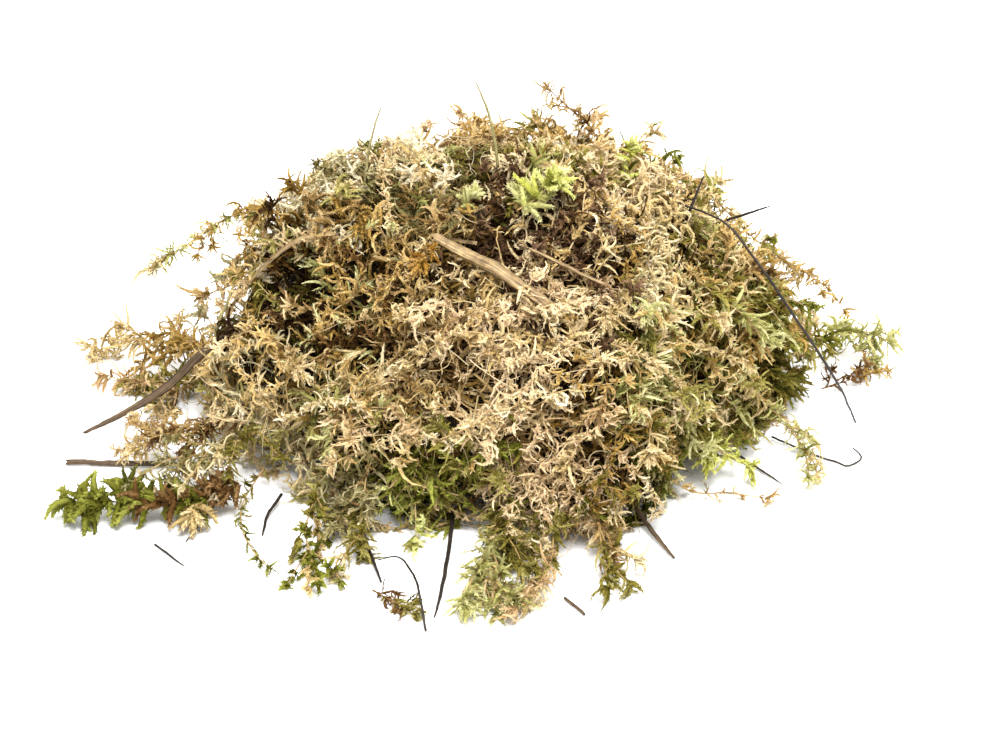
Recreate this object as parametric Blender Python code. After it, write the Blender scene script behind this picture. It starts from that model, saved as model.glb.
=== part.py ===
"""A loose heap of dried sphagnum moss, about 240 mm across and 100 mm high, with bits of straw in it.

The heap is one tangled mound, flat underneath. Single shoots of moss lie on it and trail out of it,
and so do grass straws, needles and rootlets. Every piece is a closed solid in an object of its own.

Sizes are in millimetres, and MM turns them into Blender's metres. +X is the heap's right, +Y its back
and +Z up. The origin is the middle of the mound's flat underside, and the heap rests on Z = 0.
"""

import math
import random

import bmesh
import bpy
from mathutils import Vector, noise
from mathutils.bvhtree import BVHTree

MM = 0.001
SEED = 11

# ---- Driving dimensions of the mound ----
MOUND_HEIGHT = 75
# Radius of its footprint every 30 degrees, anticlockwise from +X
FOOTPRINT = (81, 74, 66, 64, 67, 76, 82, 73, 68, 61, 71, 61)
CELLS = 16  # faces along each side of the cube that the mound's even mesh is rounded from
SHOULDER = 0.72  # power of the cosine: below 1 the sides stand steeper than an ellipsoid's
CROWN = 0.95  # power of the sine
UNDERCUT = 0.06  # share by which the foot draws in at the floor
UNDERCUT_HEIGHT = 7  # and how high that reaches
HEART = Vector((0, 0, 12))  # the point that lumps and tufts stand away from

# Lumps and hollows of the mound: centre, reach and height, which is negative for a hollow
LUMPS = {
    "centre_tuft": ((0, -56, 42), 23, 6.5),
    "cave_left_of_centre": ((-34, -45, 52), 12, -10),
    "hollow_under_the_crown": ((19, -40, 66), 14, -7),
    "gap_left": ((-62, -24, 46), 11, -6),
    "pale_rim": ((44, -20, 62), 11, 5),
    "left_shoulder": ((-50, -6, 66), 18, 4),
    "crown_tuft": ((8, -6, 80), 16, 4),
    "front_lobe": ((18, -68, 14), 17, 9),
    "front_gap": ((-21, -62, 4), 12, -9),
    "front_left_lobe": ((-42, -58, 14), 13, 4),
    "right_bulge": ((64, -18, 34), 18, 5),
    "right_gap": ((50, -46, 6), 12, -5),
    "left_bulge": ((-72, -22, 22), 16, 4),
    "back_left_tuft": ((-42, 44, 48), 20, 7),
    "back_right_tuft": ((40, 46, 40), 20, 6),
    "back_hollow": ((2, 52, 60), 13, -8),
    "back_foot": ((-6, 66, 12), 18, 6),
    "right_back_gap": ((70, 36, 26), 12, -6),
    "left_back_lobe": ((-72, 36, 20), 16, 6),
}
LUMP_SPREAD = 1.6  # a lump's reach in standard deviations of its bell curve
RIPPLE = 2.6  # height of the uneven swell all over
RIPPLE_SIZE = 15

# Every face of the mound is drawn out into a tuft or in to a pit, as a pyramid
TUFT_SHARE = 0.5
TUFT_LENGTH = (3.5, 7.5)
TUFT_LEAN = 4
PIT_DEPTH = (-2.5, 1)
PIT_LEAN = 1
TUFT_FLOOR = 4  # no tufts lower than this
CLEARANCE = 6.5  # nor closer than this to what lies on the mound

# ---- Pieces on and round the mound ----
GAP = 0.6  # what touches the mound keeps this clear of it
SHARPEST = 3  # and at its sharpest points this many times as much
STEM_SIDES = 5
STEM_STEP = 4.4  # length of stem for each whorl of branches
STEM_TAPER = 0.35
STRAW_SIDES = 6
STRAW_STEP = 8  # length of straw for each ring

# Kinds of moss shoot: stem radius, branch length, share of the stem's faces that carry a branch
STOUT = (1.3, 6.0, 0.9)
SLIM = (1.0, 5.5, 0.75)
WISPY = (0.9, 4.2, 0.6)
THREAD = (0.6, 2.5, 0.35)
HEAD = (1.7, 6.5, 1.0)

# Shoots that lie on the mound, from root to tip. They are laid down on its skin.
LAID_SHOOTS = {
    "green_head": ("moss_green", HEAD, (3, -21, 74), (8, -17, 76), (13, -13, 77), (18, -10, 76)),
    "yellow_head": ("moss_cream", HEAD, (-13, -21, 74), (-8, -19, 76)),
    "golden_head": ("moss_tan", HEAD, (-22, -30, 70), (-26, -37, 66)),
    "pale_shoot_rim": ("moss_cream", STOUT, (43, -5, 68), (40, -18, 65), (35, -29, 61)),
    "cream_head": ("moss_cream", HEAD, (31, -38, 59), (24, -46, 56)),
    "cream_head_low": ("moss_cream", HEAD, (36, -54, 32), (34, -59, 26)),
    "pale_green_shoot": ("moss_green", SLIM, (49, -20, 52), (58, -21, 45), (67, -20, 35)),
    "tan_head_left": ("moss_tan", HEAD, (-57, -31, 40), (-49, -40, 38)),
}

# Shoots that trail out of the mound, from root to tip
TRAILING_SHOOTS = {
    "green_shoot_left": (
        "moss_green", STOUT,
        (-70, -51, 9), (-86, -57, 7.5), (-100, -56, 7), (-109, -55, 6.5), (-117, -55, 5.5),
    ),
    "tan_shoot_left": (
        "moss_tan", SLIM,
        (-74, -4, 20), (-86, 10, 14), (-97, 20, 10), (-110, 27, 7), (-121, 27, 5),
    ),
    "sage_shoot_left": ("moss_tan", SLIM, (-70, 0, 10), (-88, 5, 6), (-103, 6, 5), (-115, 13, 4)),
    "pale_shoot_upper_left": (
        "moss_cream", WISPY,
        (-58, -4, 65), (-72, 0, 63), (-82, 2, 56), (-90, 4, 49), (-97, 6, 43),
    ),
    "left_fringe": ("moss_tan", SLIM, (-70, -29, 17), (-88, -33, 14), (-97, -29, 12), (-103, -20, 10)),
    "left_fringe_low": ("moss_tan", SLIM, (-66, -37, 17), (-80, -46, 16), (-92, -46, 14)),
    "brown_shoot_top": ("moss_brown", WISPY, (32, 11, 66), (24, 20, 78), (17, 23, 84), (11, 25, 89)),
    "green_sprig_top": ("moss_green", STOUT, (33, 7, 66), (34, 9, 79)),
    "arching_shoot_right": (
        "moss_brown", WISPY,
        (34, 23, 65), (44, 27, 62), (52, 30, 58), (60, 33, 49), (68, 35, 39), (76, 37, 31), (86, 39, 23),
        (95, 41, 15), (100, 43, 6),
    ),
    "green_shoot_right": (
        "moss_green", SLIM,
        (74, 8, 20), (85, 18, 15), (94, 23, 12), (104, 26, 10), (112, 28, 8.5),
    ),
    "brown_curl_right": ("moss_brown", WISPY, (90, 8, 2), (98, 11, 3), (105, 14, 3.5), (110, 16, 3)),
    "pale_shoot_right": ("moss_cream", WISPY, (62, -24, 27), (75, -24, 13), (81, -31, 7), (82, -41, 4)),
    "green_shoot_front_right": ("moss_green", STOUT, (46, -31, 22), (57, -36, 11), (66, -38, 6)),
    "front_right_shoot": ("moss_tan", SLIM, (23, -65, 15), (25, -80, 8), (26, -92, 5)),
    "green_shoot_front": ("moss_green", STOUT, (-1, -62, 14), (-4, -76, 9), (-8, -88, 7), (-11, -99, 5)),
    "tan_shoot_front": ("moss_tan", SLIM, (12, -64, 13), (12, -81, 8), (8, -92, 5.5), (1, -100, 4)),
    "leafy_shoot_front_left": (
        "moss_green", SLIM,
        (-47, -50, 13), (-52, -66, 7), (-50, -78, 5), (-48, -88, 4),
    ),
    "sage_shoot_front_left": ("moss_tan", SLIM, (-38, -50, 14), (-38, -62, 9), (-37, -74, 5)),
    "trailing_shoot_left": (
        "moss_brown", THREAD,
        (-65, -38, 6), (-70, -51, 3), (-69, -63, 2.6), (-65, -73, 2.4), (-61, -79, 2.2),
    ),
    "creeping_shoot_front": ("moss_brown", THREAD, (-34, -88, 1.8), (-29, -93, 2), (-25, -96, 2)),
    "bare_shoot_right": ("moss_brown", THREAD, (36, -45, 14), (49, -46, 4), (60, -45, 2.3), (71, -47, 2)),
    "back_shoot_left": ("moss_tan", SLIM, (-48, 50, 30), (-62, 64, 14), (-72, 74, 6)),
    "back_shoot_right": ("moss_cream", SLIM, (42, 52, 26), (52, 68, 12), (56, 80, 5)),
}

# Straws that lie on the mound: width, thickness, share of the width left at the root and at the tip
LAID_STRAWS = {
    "flat_straw": ("straw_tan", (3.0, 1.2, 0.75, 1.0), (-18, -28, 70), (-4, -37, 67), (11, -44, 59)),
    "thin_stalk": ("straw_tan", (1.1, 0.9, 0.7, 1.0), (6, -31, 68), (16, -33, 64), (25, -36, 61)),
    "upper_left_straw": ("straw_tan", (2.0, 0.9, 0.8, 0.5), (-45, -19, 66), (-59, -12, 56), (-72, -9, 47)),
    "left_straw": ("straw_tan", (1.8, 0.8, 0.6, 0.9), (-70, -1, 46), (-73, -8, 38), (-77, -10, 29)),
}

# Straws, needles, blades and rootlets that stick out of the mound or lie beside it
FREE_STRAWS = {
    "long_dark_twig": (
        "twig_dark", (1.2, 1.2, 0.6, 0.8),
        (46, -3, 68), (58, -14, 68), (67, -20, 59), (78, -24, 44), (90, -22, 23), (98, -8, 1.1),
    ),
    "dark_needle_upper_right": ("twig_dark", (0.8, 0.8, 1.0, 0.3), (58, 7, 56), (72, 1, 65)),
    "brown_twig_upright": ("twig_dark", (0.8, 0.8, 1.0, 0.5), (47, -4, 58), (50, -5, 68), (53, -3, 76)),
    "brown_blade": (
        "straw_tan", (3.4, 1.0, 0.5, 0.35),
        (-68, -10, 37), (-79, -7, 28), (-86, -6, 21), (-93, -8, 14), (-103, -11, 8), (-117, -14, 1.4),
    ),
    "floor_straw": ("straw_tan", (1.6, 1.3, 0.8, 1.0), (-84, -30, 1.6), (-102, -29, 1.2), (-120, -28, 1.0)),
    "top_stalk": ("straw_tan", (0.8, 0.8, 1.0, 0.4), (-2, -5, 80), (-4, -4, 93), (-8, -2, 104)),
    "top_left_stalk": ("straw_tan", (0.7, 0.7, 1.0, 0.6), (-38, -1, 72), (-36, 1, 84), (-33, 2, 94)),
    "black_needle_front": (
        "twig_dark", (1.1, 1.1, 1.0, 0.4),
        (-14, -56, 3), (-15, -78, 1.6), (-18, -98, 0.7),
    ),
    "arched_stalk": (
        "twig_dark", (0.9, 0.9, 0.4, 1.0),
        (-33, -74, 1.2), (-28, -75, 3), (-24, -84, 5), (-22, -94, 6), (-20, -104, 0.9),
    ),
    "dark_stalk_front_left": (
        "twig_dark", (0.9, 0.9, 1.0, 0.6),
        (-39, -56, 3), (-36, -69, 2), (-32, -83, 0.8),
    ),
    "dark_rootlet": (
        "twig_dark", (0.6, 0.6, 1.0, 0.6),
        (74, -16, 1.6), (86, -24, 0.6), (91, -27, 0.5), (94, -29, 0.5), (98, -25, 0.5), (96, -20, 0.5),
    ),
    "needle_right": ("twig_dark", (0.8, 0.8, 1.0, 0.3), (57, -20, 4), (67, -29, 1.5), (75, -38, 0.6)),
    "stick_right": ("straw_tan", (2.0, 0.9, 0.7, 0.9), (31, -48, 8), (38, -62, 3), (44, -73, 1.0)),
    "short_stick_front": ("straw_tan", (1.1, 1.0, 0.9, 0.9), (15, -90, 0.9), (20, -97, 0.8)),
    "needle_left": ("twig_dark", (0.8, 0.8, 1.0, 0.3), (-76, -44, 1.2), (-84, -65, 0.6)),
    "needle_far_left": ("twig_dark", (0.6, 0.6, 1.0, 0.3), (-92, -66, 0.6), (-83, -76, 0.5)),
    "needle_left_upright": (
        "twig_dark", (0.9, 0.9, 1.0, 0.5),
        (-60, -46, 2.5), (-63, -54, 1.8), (-64, -62, 0.7),
    ),
}

# Colour and roughness
FINISHES = {
    "moss_mixed": ((0.42, 0.32, 0.17), 0.95),
    "moss_tan": ((0.52, 0.38, 0.21), 0.95),
    "moss_cream": ((0.68, 0.57, 0.34), 0.95),
    "moss_green": ((0.33, 0.38, 0.12), 0.9),
    "moss_brown": ((0.3, 0.19, 0.1), 0.95),
    "straw_tan": ((0.46, 0.34, 0.19), 0.7),
    "twig_dark": ((0.05, 0.04, 0.03), 0.6),
}


# ---- Helpers ----
def clear_scene():
    for obj in list(bpy.data.objects):
        bpy.data.objects.remove(obj, do_unlink=True)


def make_finish(name):
    colour, roughness = FINISHES[name]
    made = bpy.data.materials.new(name)
    made.use_nodes = True
    made.diffuse_color = (*colour, 1)
    shader = made.node_tree.nodes["Principled BSDF"]
    shader.inputs["Base Color"].default_value = (*colour, 1)
    shader.inputs["Roughness"].default_value = roughness
    shader.inputs["Metallic"].default_value = 0


def object_from(name, form, finish=None):
    """Puts a bmesh that was modelled in millimetres into the scene, in metres."""
    bmesh.ops.recalc_face_normals(form, faces=form.faces)
    bmesh.ops.scale(form, vec=(MM, MM, MM), verts=form.verts)
    mesh = bpy.data.meshes.new(name)
    form.to_mesh(mesh)
    form.free()
    if finish:
        mesh.materials.append(bpy.data.materials[finish])
    obj = bpy.data.objects.new(name, mesh)
    bpy.context.scene.collection.objects.link(obj)
    return obj


def cubic(points, index, share):
    """A point on the smooth curve through the points, share of the way from this one to the next."""
    last = len(points) - 1
    before, here = points[max(index - 1, 0)], points[index]
    there, after = points[min(index + 1, last)], points[min(index + 2, last)]
    return 0.5 * (
        2 * here
        + (there - before) * share
        + (2 * before - 5 * here + 4 * there - after) * share**2
        + (3 * here - before - 3 * there + after) * share**3
    )


def along(spine, step):
    """Evenly spaced points on the smooth curve through the spine, about step apart."""
    steps = 16
    points = [cubic(spine, i, k / steps) for i in range(len(spine) - 1) for k in range(steps)] + [spine[-1]]
    lengths = [0.0]
    for here, there in zip(points, points[1:]):
        lengths.append(lengths[-1] + (there - here).length)
    count = max(2, round(lengths[-1] / step))
    found = [points[0]]
    for k in range(1, count):
        wanted = lengths[-1] * k / count
        i = next(j for j, length in enumerate(lengths) if length > wanted)
        share = (wanted - lengths[i - 1]) / (lengths[i] - lengths[i - 1])
        found.append(points[i - 1].lerp(points[i], share))
    return found + [points[-1]]


def level_frame(points, index):
    """Across and up for a rod's ring: across stays level unless the rod stands upright."""
    ahead = (points[min(index + 1, len(points) - 1)] - points[max(index - 1, 0)]).normalized()
    across = Vector((0, 0, 1)).cross(ahead)
    if across.length < 0.2:
        across = Vector((1, 0, 0)).cross(ahead)
    across.normalize()
    return across, ahead.cross(across)


def swept(points, sides, half_widths, half_heights):
    """A closed rod through the points, and its side faces, ring by ring."""
    form = bmesh.new()
    rings = []
    for index, (point, width, height) in enumerate(zip(points, half_widths, half_heights)):
        across, up = level_frame(points, index)
        turns = [2 * math.pi * k / sides for k in range(sides)]
        corners = [point + across * width * math.cos(a) + up * height * math.sin(a) for a in turns]
        rings.append([form.verts.new(corner) for corner in corners])
    bands = []
    for low, high in zip(rings, rings[1:]):
        pairs = [(k, (k + 1) % sides) for k in range(sides)]
        bands.append([form.faces.new((low[a], low[b], high[b], high[a])) for a, b in pairs])
    form.faces.new(rings[0][::-1])
    form.faces.new(rings[-1])
    return form, bands


def poke(form, face, tip):
    """Draws a face out into a pyramid with this tip, which stays above the floor."""
    tip.z = max(tip.z, 0)
    bmesh.ops.poke(form, faces=[face])["verts"][0].co = tip


def keep_above_floor(form):
    for vertex in form.verts:
        vertex.co.z = max(vertex.co.z, 0)


# ---- The mound ----
def footprint(turn):
    """Radius of the mound's foot in the direction turn, in radians."""
    steps = len(FOOTPRINT)
    place = turn / (2 * math.pi) * steps
    index = math.floor(place)
    around = [Vector((FOOTPRINT[(index + k) % steps], 0, 0)) for k in (-1, 0, 1, 2)]
    return cubic(around, 1, place - index).x


def swell(point):
    """How far the skin stands out at a point, for the lumps and for the uneven swell all over."""
    height = RIPPLE * noise.noise(point / RIPPLE_SIZE)
    for centre, reach, lift in LUMPS.values():
        away = (point - Vector(centre)).length / (reach / LUMP_SPREAD)
        height += lift * math.exp(-away * away / 2)
    return height * min(1, point.z / UNDERCUT_HEIGHT)


def mound_point(turn, rise):
    """A point of the mound's skin: turn goes round it and rise from 0 at the foot to 1 at the top."""
    angle = rise * math.pi / 2
    height = MOUND_HEIGHT * math.sin(angle) ** CROWN
    reach = footprint(turn) * math.cos(angle) ** SHOULDER
    reach *= 1 - UNDERCUT * math.exp(-height / UNDERCUT_HEIGHT)
    plain = Vector((reach * math.cos(turn), reach * math.sin(turn), height))
    return plain + (plain - HEART).normalized() * swell(plain)


def mound_skin():
    """The mound without its tufts, and the faces of its sides.

    It is the upper half of a finely divided cube, rounded so that its faces stay about one size.
    """
    form = bmesh.new()
    bmesh.ops.create_cube(form, size=2)
    bmesh.ops.subdivide_edges(form, edges=form.edges, cuts=CELLS - 1, use_grid_fill=True)
    lower = [face for face in form.faces if face.calc_center_median().z < 0]
    bmesh.ops.delete(form, geom=lower, context="FACES")
    for vertex in form.verts:
        way = Vector([math.tan(c * math.pi / 4) for c in vertex.co]).normalized()
        vertex.co = mound_point(math.atan2(way.y, way.x), math.asin(way.z) * 2 / math.pi)
    sides = list(form.faces)
    bmesh.ops.holes_fill(form, edges=form.edges)
    return form, sides


def raise_tufts(form, faces, kept_clear, chance):
    """Draws the faces out into tufts or in to pits. Next to the other pieces there are only pits."""
    for face in faces:
        middle = face.calc_center_median()
        clear = min((middle - point).length for point in kept_clear) > CLEARANCE
        tuft = clear and middle.z > TUFT_FLOOR and chance.random() < TUFT_SHARE
        length, lean = (TUFT_LENGTH, TUFT_LEAN) if tuft else (PIT_DEPTH, PIT_LEAN)
        sideways = Vector([chance.uniform(-lean, lean) for _ in range(3)])
        poke(form, face, middle + (middle - HEART).normalized() * chance.uniform(*length) + sideways)


def mound_cutter(mound):
    """The mound swollen by GAP, which trims what runs into it."""
    form = bmesh.new()
    form.from_mesh(mound.data)
    form.normal_update()
    moves = {v: v.normal * min(v.calc_shell_factor(), SHARPEST) * GAP * MM for v in form.verts}
    for vertex, move in moves.items():
        vertex.co += move
    bmesh.ops.scale(form, vec=(1 / MM, 1 / MM, 1 / MM), verts=form.verts)
    cutter = object_from("mound_cutter", form)
    cutter.hide_render = True
    cutter.display_type = "WIRE"
    return cutter


def island_of(face):
    """All the faces that can be reached from this one."""
    found, rim = {face}, [face]
    while rim:
        near = {other for edge in rim.pop().edges for other in edge.link_faces} - found
        found |= near
        rim += near
    return found


def trim_to(cutter, obj):
    """Cuts a piece back to the swollen mound, and keeps the largest part that is left."""
    cut = obj.modifiers.new("trim", "BOOLEAN")
    cut.operation = "DIFFERENCE"
    cut.solver = "EXACT"
    cut.object = cutter
    cut.use_self = True
    graph = bpy.context.evaluated_depsgraph_get()
    form = bmesh.new()
    form.from_mesh(obj.evaluated_get(graph).to_mesh())
    obj.modifiers.clear()
    left, islands = set(form.faces), []
    while left:
        islands.append(island_of(next(iter(left))))
        left -= islands[-1]
    islands.sort(key=lambda faces: sum(face.calc_area() for face in faces))
    crumbs = [face for island in islands[:-1] for face in island]
    bmesh.ops.delete(form, geom=crumbs, context="FACES")
    form.to_mesh(obj.data)
    form.free()


# ---- Shoots and straws ----
def laid_on(skin, spine, lift):
    """The spine moved on to the mound's skin, this high above it."""
    outward = [(point - HEART).normalized() for point in spine]
    return [skin.ray_cast(HEART, way)[0] + way * lift for way in outward]


def shoot(name, finish, kind, spine, laid, chance):
    """A moss shoot: a stem whose faces are drawn out into branches, longest and closest at its head.

    One that is laid on the mound has no branches on its underside.
    """
    stem_radius, branch, share = kind
    points = along(spine, STEM_STEP)
    radii = [stem_radius * (1 - STEM_TAPER * k / (len(points) - 1)) for k in range(len(points))]
    form, bands = swept(points, STEM_SIDES, radii, radii)
    for ring, band in enumerate(bands):
        axis = points[ring].lerp(points[ring + 1], 0.5)
        ahead = (points[ring + 1] - points[ring]).normalized()
        at_head = ring >= len(bands) - 2
        for face in band:
            length = branch * chance.uniform(0.75, 1.1)
            lean = chance.uniform(0.3, 0.7) + (0.4 if at_head else 0)
            middle = face.calc_center_median()
            outward = (middle - axis).normalized()
            branches = at_head or chance.random() < share
            if laid and outward.dot((axis - HEART).normalized()) < 0:
                branches = False
            if branches:
                poke(form, face, middle + (outward + ahead * lean).normalized() * length)
    form.faces.ensure_lookup_table()
    end = max((face for face in form.faces if len(face.verts) == STEM_SIDES), key=lambda face: face.index)
    poke(form, end, points[-1] + (points[-1] - points[-2]).normalized() * branch * 0.7)
    keep_above_floor(form)
    return object_from(name, form, finish)


def straw(name, finish, sizes, spine):
    """A stalk, needle, blade or rootlet, which narrows towards its ends."""
    width, thickness, at_root, at_tip = sizes
    points = along(spine, STRAW_STEP)
    shares = []
    for k in range(len(points)):
        place = 2 * k / (len(points) - 1) - 1
        end = at_root if place < 0 else at_tip
        shares.append(1 - (1 - end) * place * place)
    half_widths = [width / 2 * share for share in shares]
    half_heights = [thickness / 2 * share for share in shares]
    form, _ = swept(points, STRAW_SIDES, half_widths, half_heights)
    keep_above_floor(form)
    return object_from(name, form, finish)


def build():
    clear_scene()
    for name in FINISHES:
        make_finish(name)
    chance = random.Random(SEED)
    form, sides = mound_skin()
    skin = BVHTree.FromBMesh(form)

    pieces, kept_clear = [], []
    for name, (finish, kind, *spine) in (LAID_SHOOTS | TRAILING_SHOOTS).items():
        spine = [Vector(point) for point in spine]
        laid = name in LAID_SHOOTS
        if laid:
            spine = laid_on(skin, spine, kind[0])
        kept_clear += along(spine, STEM_STEP)
        pieces.append(shoot(name, finish, kind, spine, laid, chance))
    for name, (finish, sizes, *spine) in (LAID_STRAWS | FREE_STRAWS).items():
        spine = [Vector(point) for point in spine]
        if name in LAID_STRAWS:
            spine = laid_on(skin, spine, sizes[1])
        kept_clear += along(spine, STEM_STEP)
        pieces.append(straw(name, finish, sizes, spine))

    raise_tufts(form, sides, kept_clear, chance)
    mound = object_from("moss_mound", form, "moss_mixed")
    cutter = mound_cutter(mound)
    bpy.context.view_layer.update()
    for piece in pieces:
        trim_to(cutter, piece)


build()
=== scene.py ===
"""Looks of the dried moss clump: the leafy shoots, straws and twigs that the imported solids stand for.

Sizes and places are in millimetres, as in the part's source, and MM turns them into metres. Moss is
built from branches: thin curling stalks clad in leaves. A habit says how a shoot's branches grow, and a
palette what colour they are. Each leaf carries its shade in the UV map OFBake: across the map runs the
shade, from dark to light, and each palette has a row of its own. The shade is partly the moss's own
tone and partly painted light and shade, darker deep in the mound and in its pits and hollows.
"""

import math
from collections import defaultdict, namedtuple

import bpy
import numpy as np
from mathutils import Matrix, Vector
from mathutils.bvhtree import BVHTree


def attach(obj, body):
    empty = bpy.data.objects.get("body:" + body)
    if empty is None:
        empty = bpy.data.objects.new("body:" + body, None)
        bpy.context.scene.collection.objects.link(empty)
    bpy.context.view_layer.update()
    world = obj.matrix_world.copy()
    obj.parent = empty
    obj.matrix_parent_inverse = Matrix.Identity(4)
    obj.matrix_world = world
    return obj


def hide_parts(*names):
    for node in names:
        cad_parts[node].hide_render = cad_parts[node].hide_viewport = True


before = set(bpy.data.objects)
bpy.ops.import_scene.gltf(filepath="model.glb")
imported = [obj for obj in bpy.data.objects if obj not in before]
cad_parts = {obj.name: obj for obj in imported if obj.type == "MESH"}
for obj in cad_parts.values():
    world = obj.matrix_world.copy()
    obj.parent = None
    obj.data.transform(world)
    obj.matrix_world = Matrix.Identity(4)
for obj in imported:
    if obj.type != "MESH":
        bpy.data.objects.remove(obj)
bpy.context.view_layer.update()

MM = 0.001
SEED = 7
HEART = np.array((0.0, 0.0, 12.0))  # the point that the mound's skin stands round
UP = np.array((0.0, 0.0, 1.0))
# The lowest that anything may lie, and then the middle lines of each kind of thing
FLOOR = 0.15
STRAND_FLOOR, CORE_FLOOR, BRANCH_FLOOR, LAID_FLOOR, SPRIG_FLOOR = 0.4, 0.5, 0.6, 0.8, 1.0

# ---- Colours ----
# Each palette's slot in the record, and its dark, middle and light shade in sRGB from 0 to 255
PALETTES = {
    "bleached": ("moss_cream", (150, 126, 53), (212, 196, 151), (232, 222, 196)),
    "cream": ("moss_cream", (109, 81, 30), (195, 172, 117), (227, 210, 171)),
    "tan": ("moss_tan", (80, 53, 16), (171, 141, 87), (215, 193, 150)),
    "pink_tan": ("moss_tan", (82, 57, 22), (183, 152, 104), (227, 206, 170)),
    "golden": ("moss_tan", (87, 59, 12), (173, 141, 72), (213, 187, 129)),
    "gold": ("moss_tan", (80, 48, 5), (148, 108, 39), (198, 162, 96)),
    "mauve": ("moss_brown", (60, 39, 21), (125, 96, 70), (167, 137, 109)),
    "brown": ("moss_brown", (44, 28, 9), (105, 74, 37), (158, 125, 82)),
    "sage": ("moss_tan", (66, 59, 19), (148, 137, 87), (200, 191, 152)),
    "olive": ("moss_green", (50, 44, 6), (126, 115, 46), (176, 166, 100)),
    "green": ("moss_green", (42, 44, 5), (106, 106, 33), (156, 158, 72)),
    "lime": ("moss_green", (98, 98, 19), (184, 184, 86), (230, 230, 166)),
    "pale_green": ("moss_green", (82, 79, 20), (168, 165, 97), (212, 208, 158)),
}
# Near-black browns of the sheet inside the heap: painted shade for its depths
INSIDE_SHADE_COLOURS = ((12, 7, 2), (34, 22, 7), (66, 46, 17))
ROWS = {name: row for row, name in enumerate(PALETTES)}

# ---- How a shoot's branches grow ----
# spacing: stem between whorls; whorl: branches in each; length, width: of a branch with its leaves;
# angle: from the stem, in radians; curl: turn from base to tip; droop: how far it sags; leaves on a
# branch; leaf, spread: a leaf's length and its angle from the branch; head: branches in the star at
# the tip; folded: whether the leaves are broad enough to show their fold; sides: of the branch's own
# stalk, which is flat where it has two
Habit = namedtuple(
    "Habit", "spacing whorl length width angle curl droop leaves leaf spread head folded sides",
)
HABITS = {
    "plain": Habit(2.5, 3, 7.2, 1.15, 1.0, 2.0, 0.6, 14, 1.45, 0.52, 8, False, 2),
    "curly": Habit(2.3, 3, 6.8, 1.05, 1.1, 3.6, 0.3, 14, 1.25, 0.55, 6, False, 2),
    "fine": Habit(2.1, 3, 5.2, 0.8, 1.1, 2.2, 0.5, 11, 1.05, 0.55, 6, False, 2),
    "strand": Habit(2.2, 3, 8.4, 1.2, 1.1, 4.0, 0.9, 20, 1.2, 0.55, 6, False, 3),
    "tongue": Habit(2.6, 3, 8.2, 1.8, 0.9, 1.3, 1.7, 28, 1.6, 0.58, 5, True, 3),
    "leafy": Habit(2.5, 3, 6.8, 1.4, 1.0, 0.9, 0.4, 12, 2.0, 0.46, 9, True, 2),
    "finger": Habit(2.2, 4, 7.8, 3.0, 1.1, 0.5, 0.0, 36, 2.2, 0.62, 18, True, 4),
    "star": Habit(2.4, 4, 6.6, 1.7, 1.0, 0.6, 0.3, 24, 1.5, 0.55, 18, True, 3),
    "bud": Habit(1.8, 4, 4.8, 2.2, 1.0, 0.8, 0.3, 14, 1.7, 0.5, 12, True, 4),
    "oval": Habit(3.2, 2, 3.4, 2.1, 1.0, 0.6, 0.2, 4, 2.3, 0.8, 5, True, 2),
    "plump": Habit(1.9, 4, 8.0, 2.8, 1.0, 1.0, 0.9, 24, 2.3, 0.55, 9, True, 4),
    "frond": Habit(1.7, 3, 3.6, 0.85, 1.1, 2.6, 0.5, 9, 1.0, 0.55, 6, False, 2),
    "sparse": Habit(2.8, 2, 4.4, 0.9, 0.9, 1.6, 0.4, 9, 1.4, 0.55, 6, False, 2),
    "bare": Habit(4.5, 1, 2.6, 0.6, 0.8, 1.2, 0.2, 4, 1.0, 0.5, 2, False, 2),
}
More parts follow.
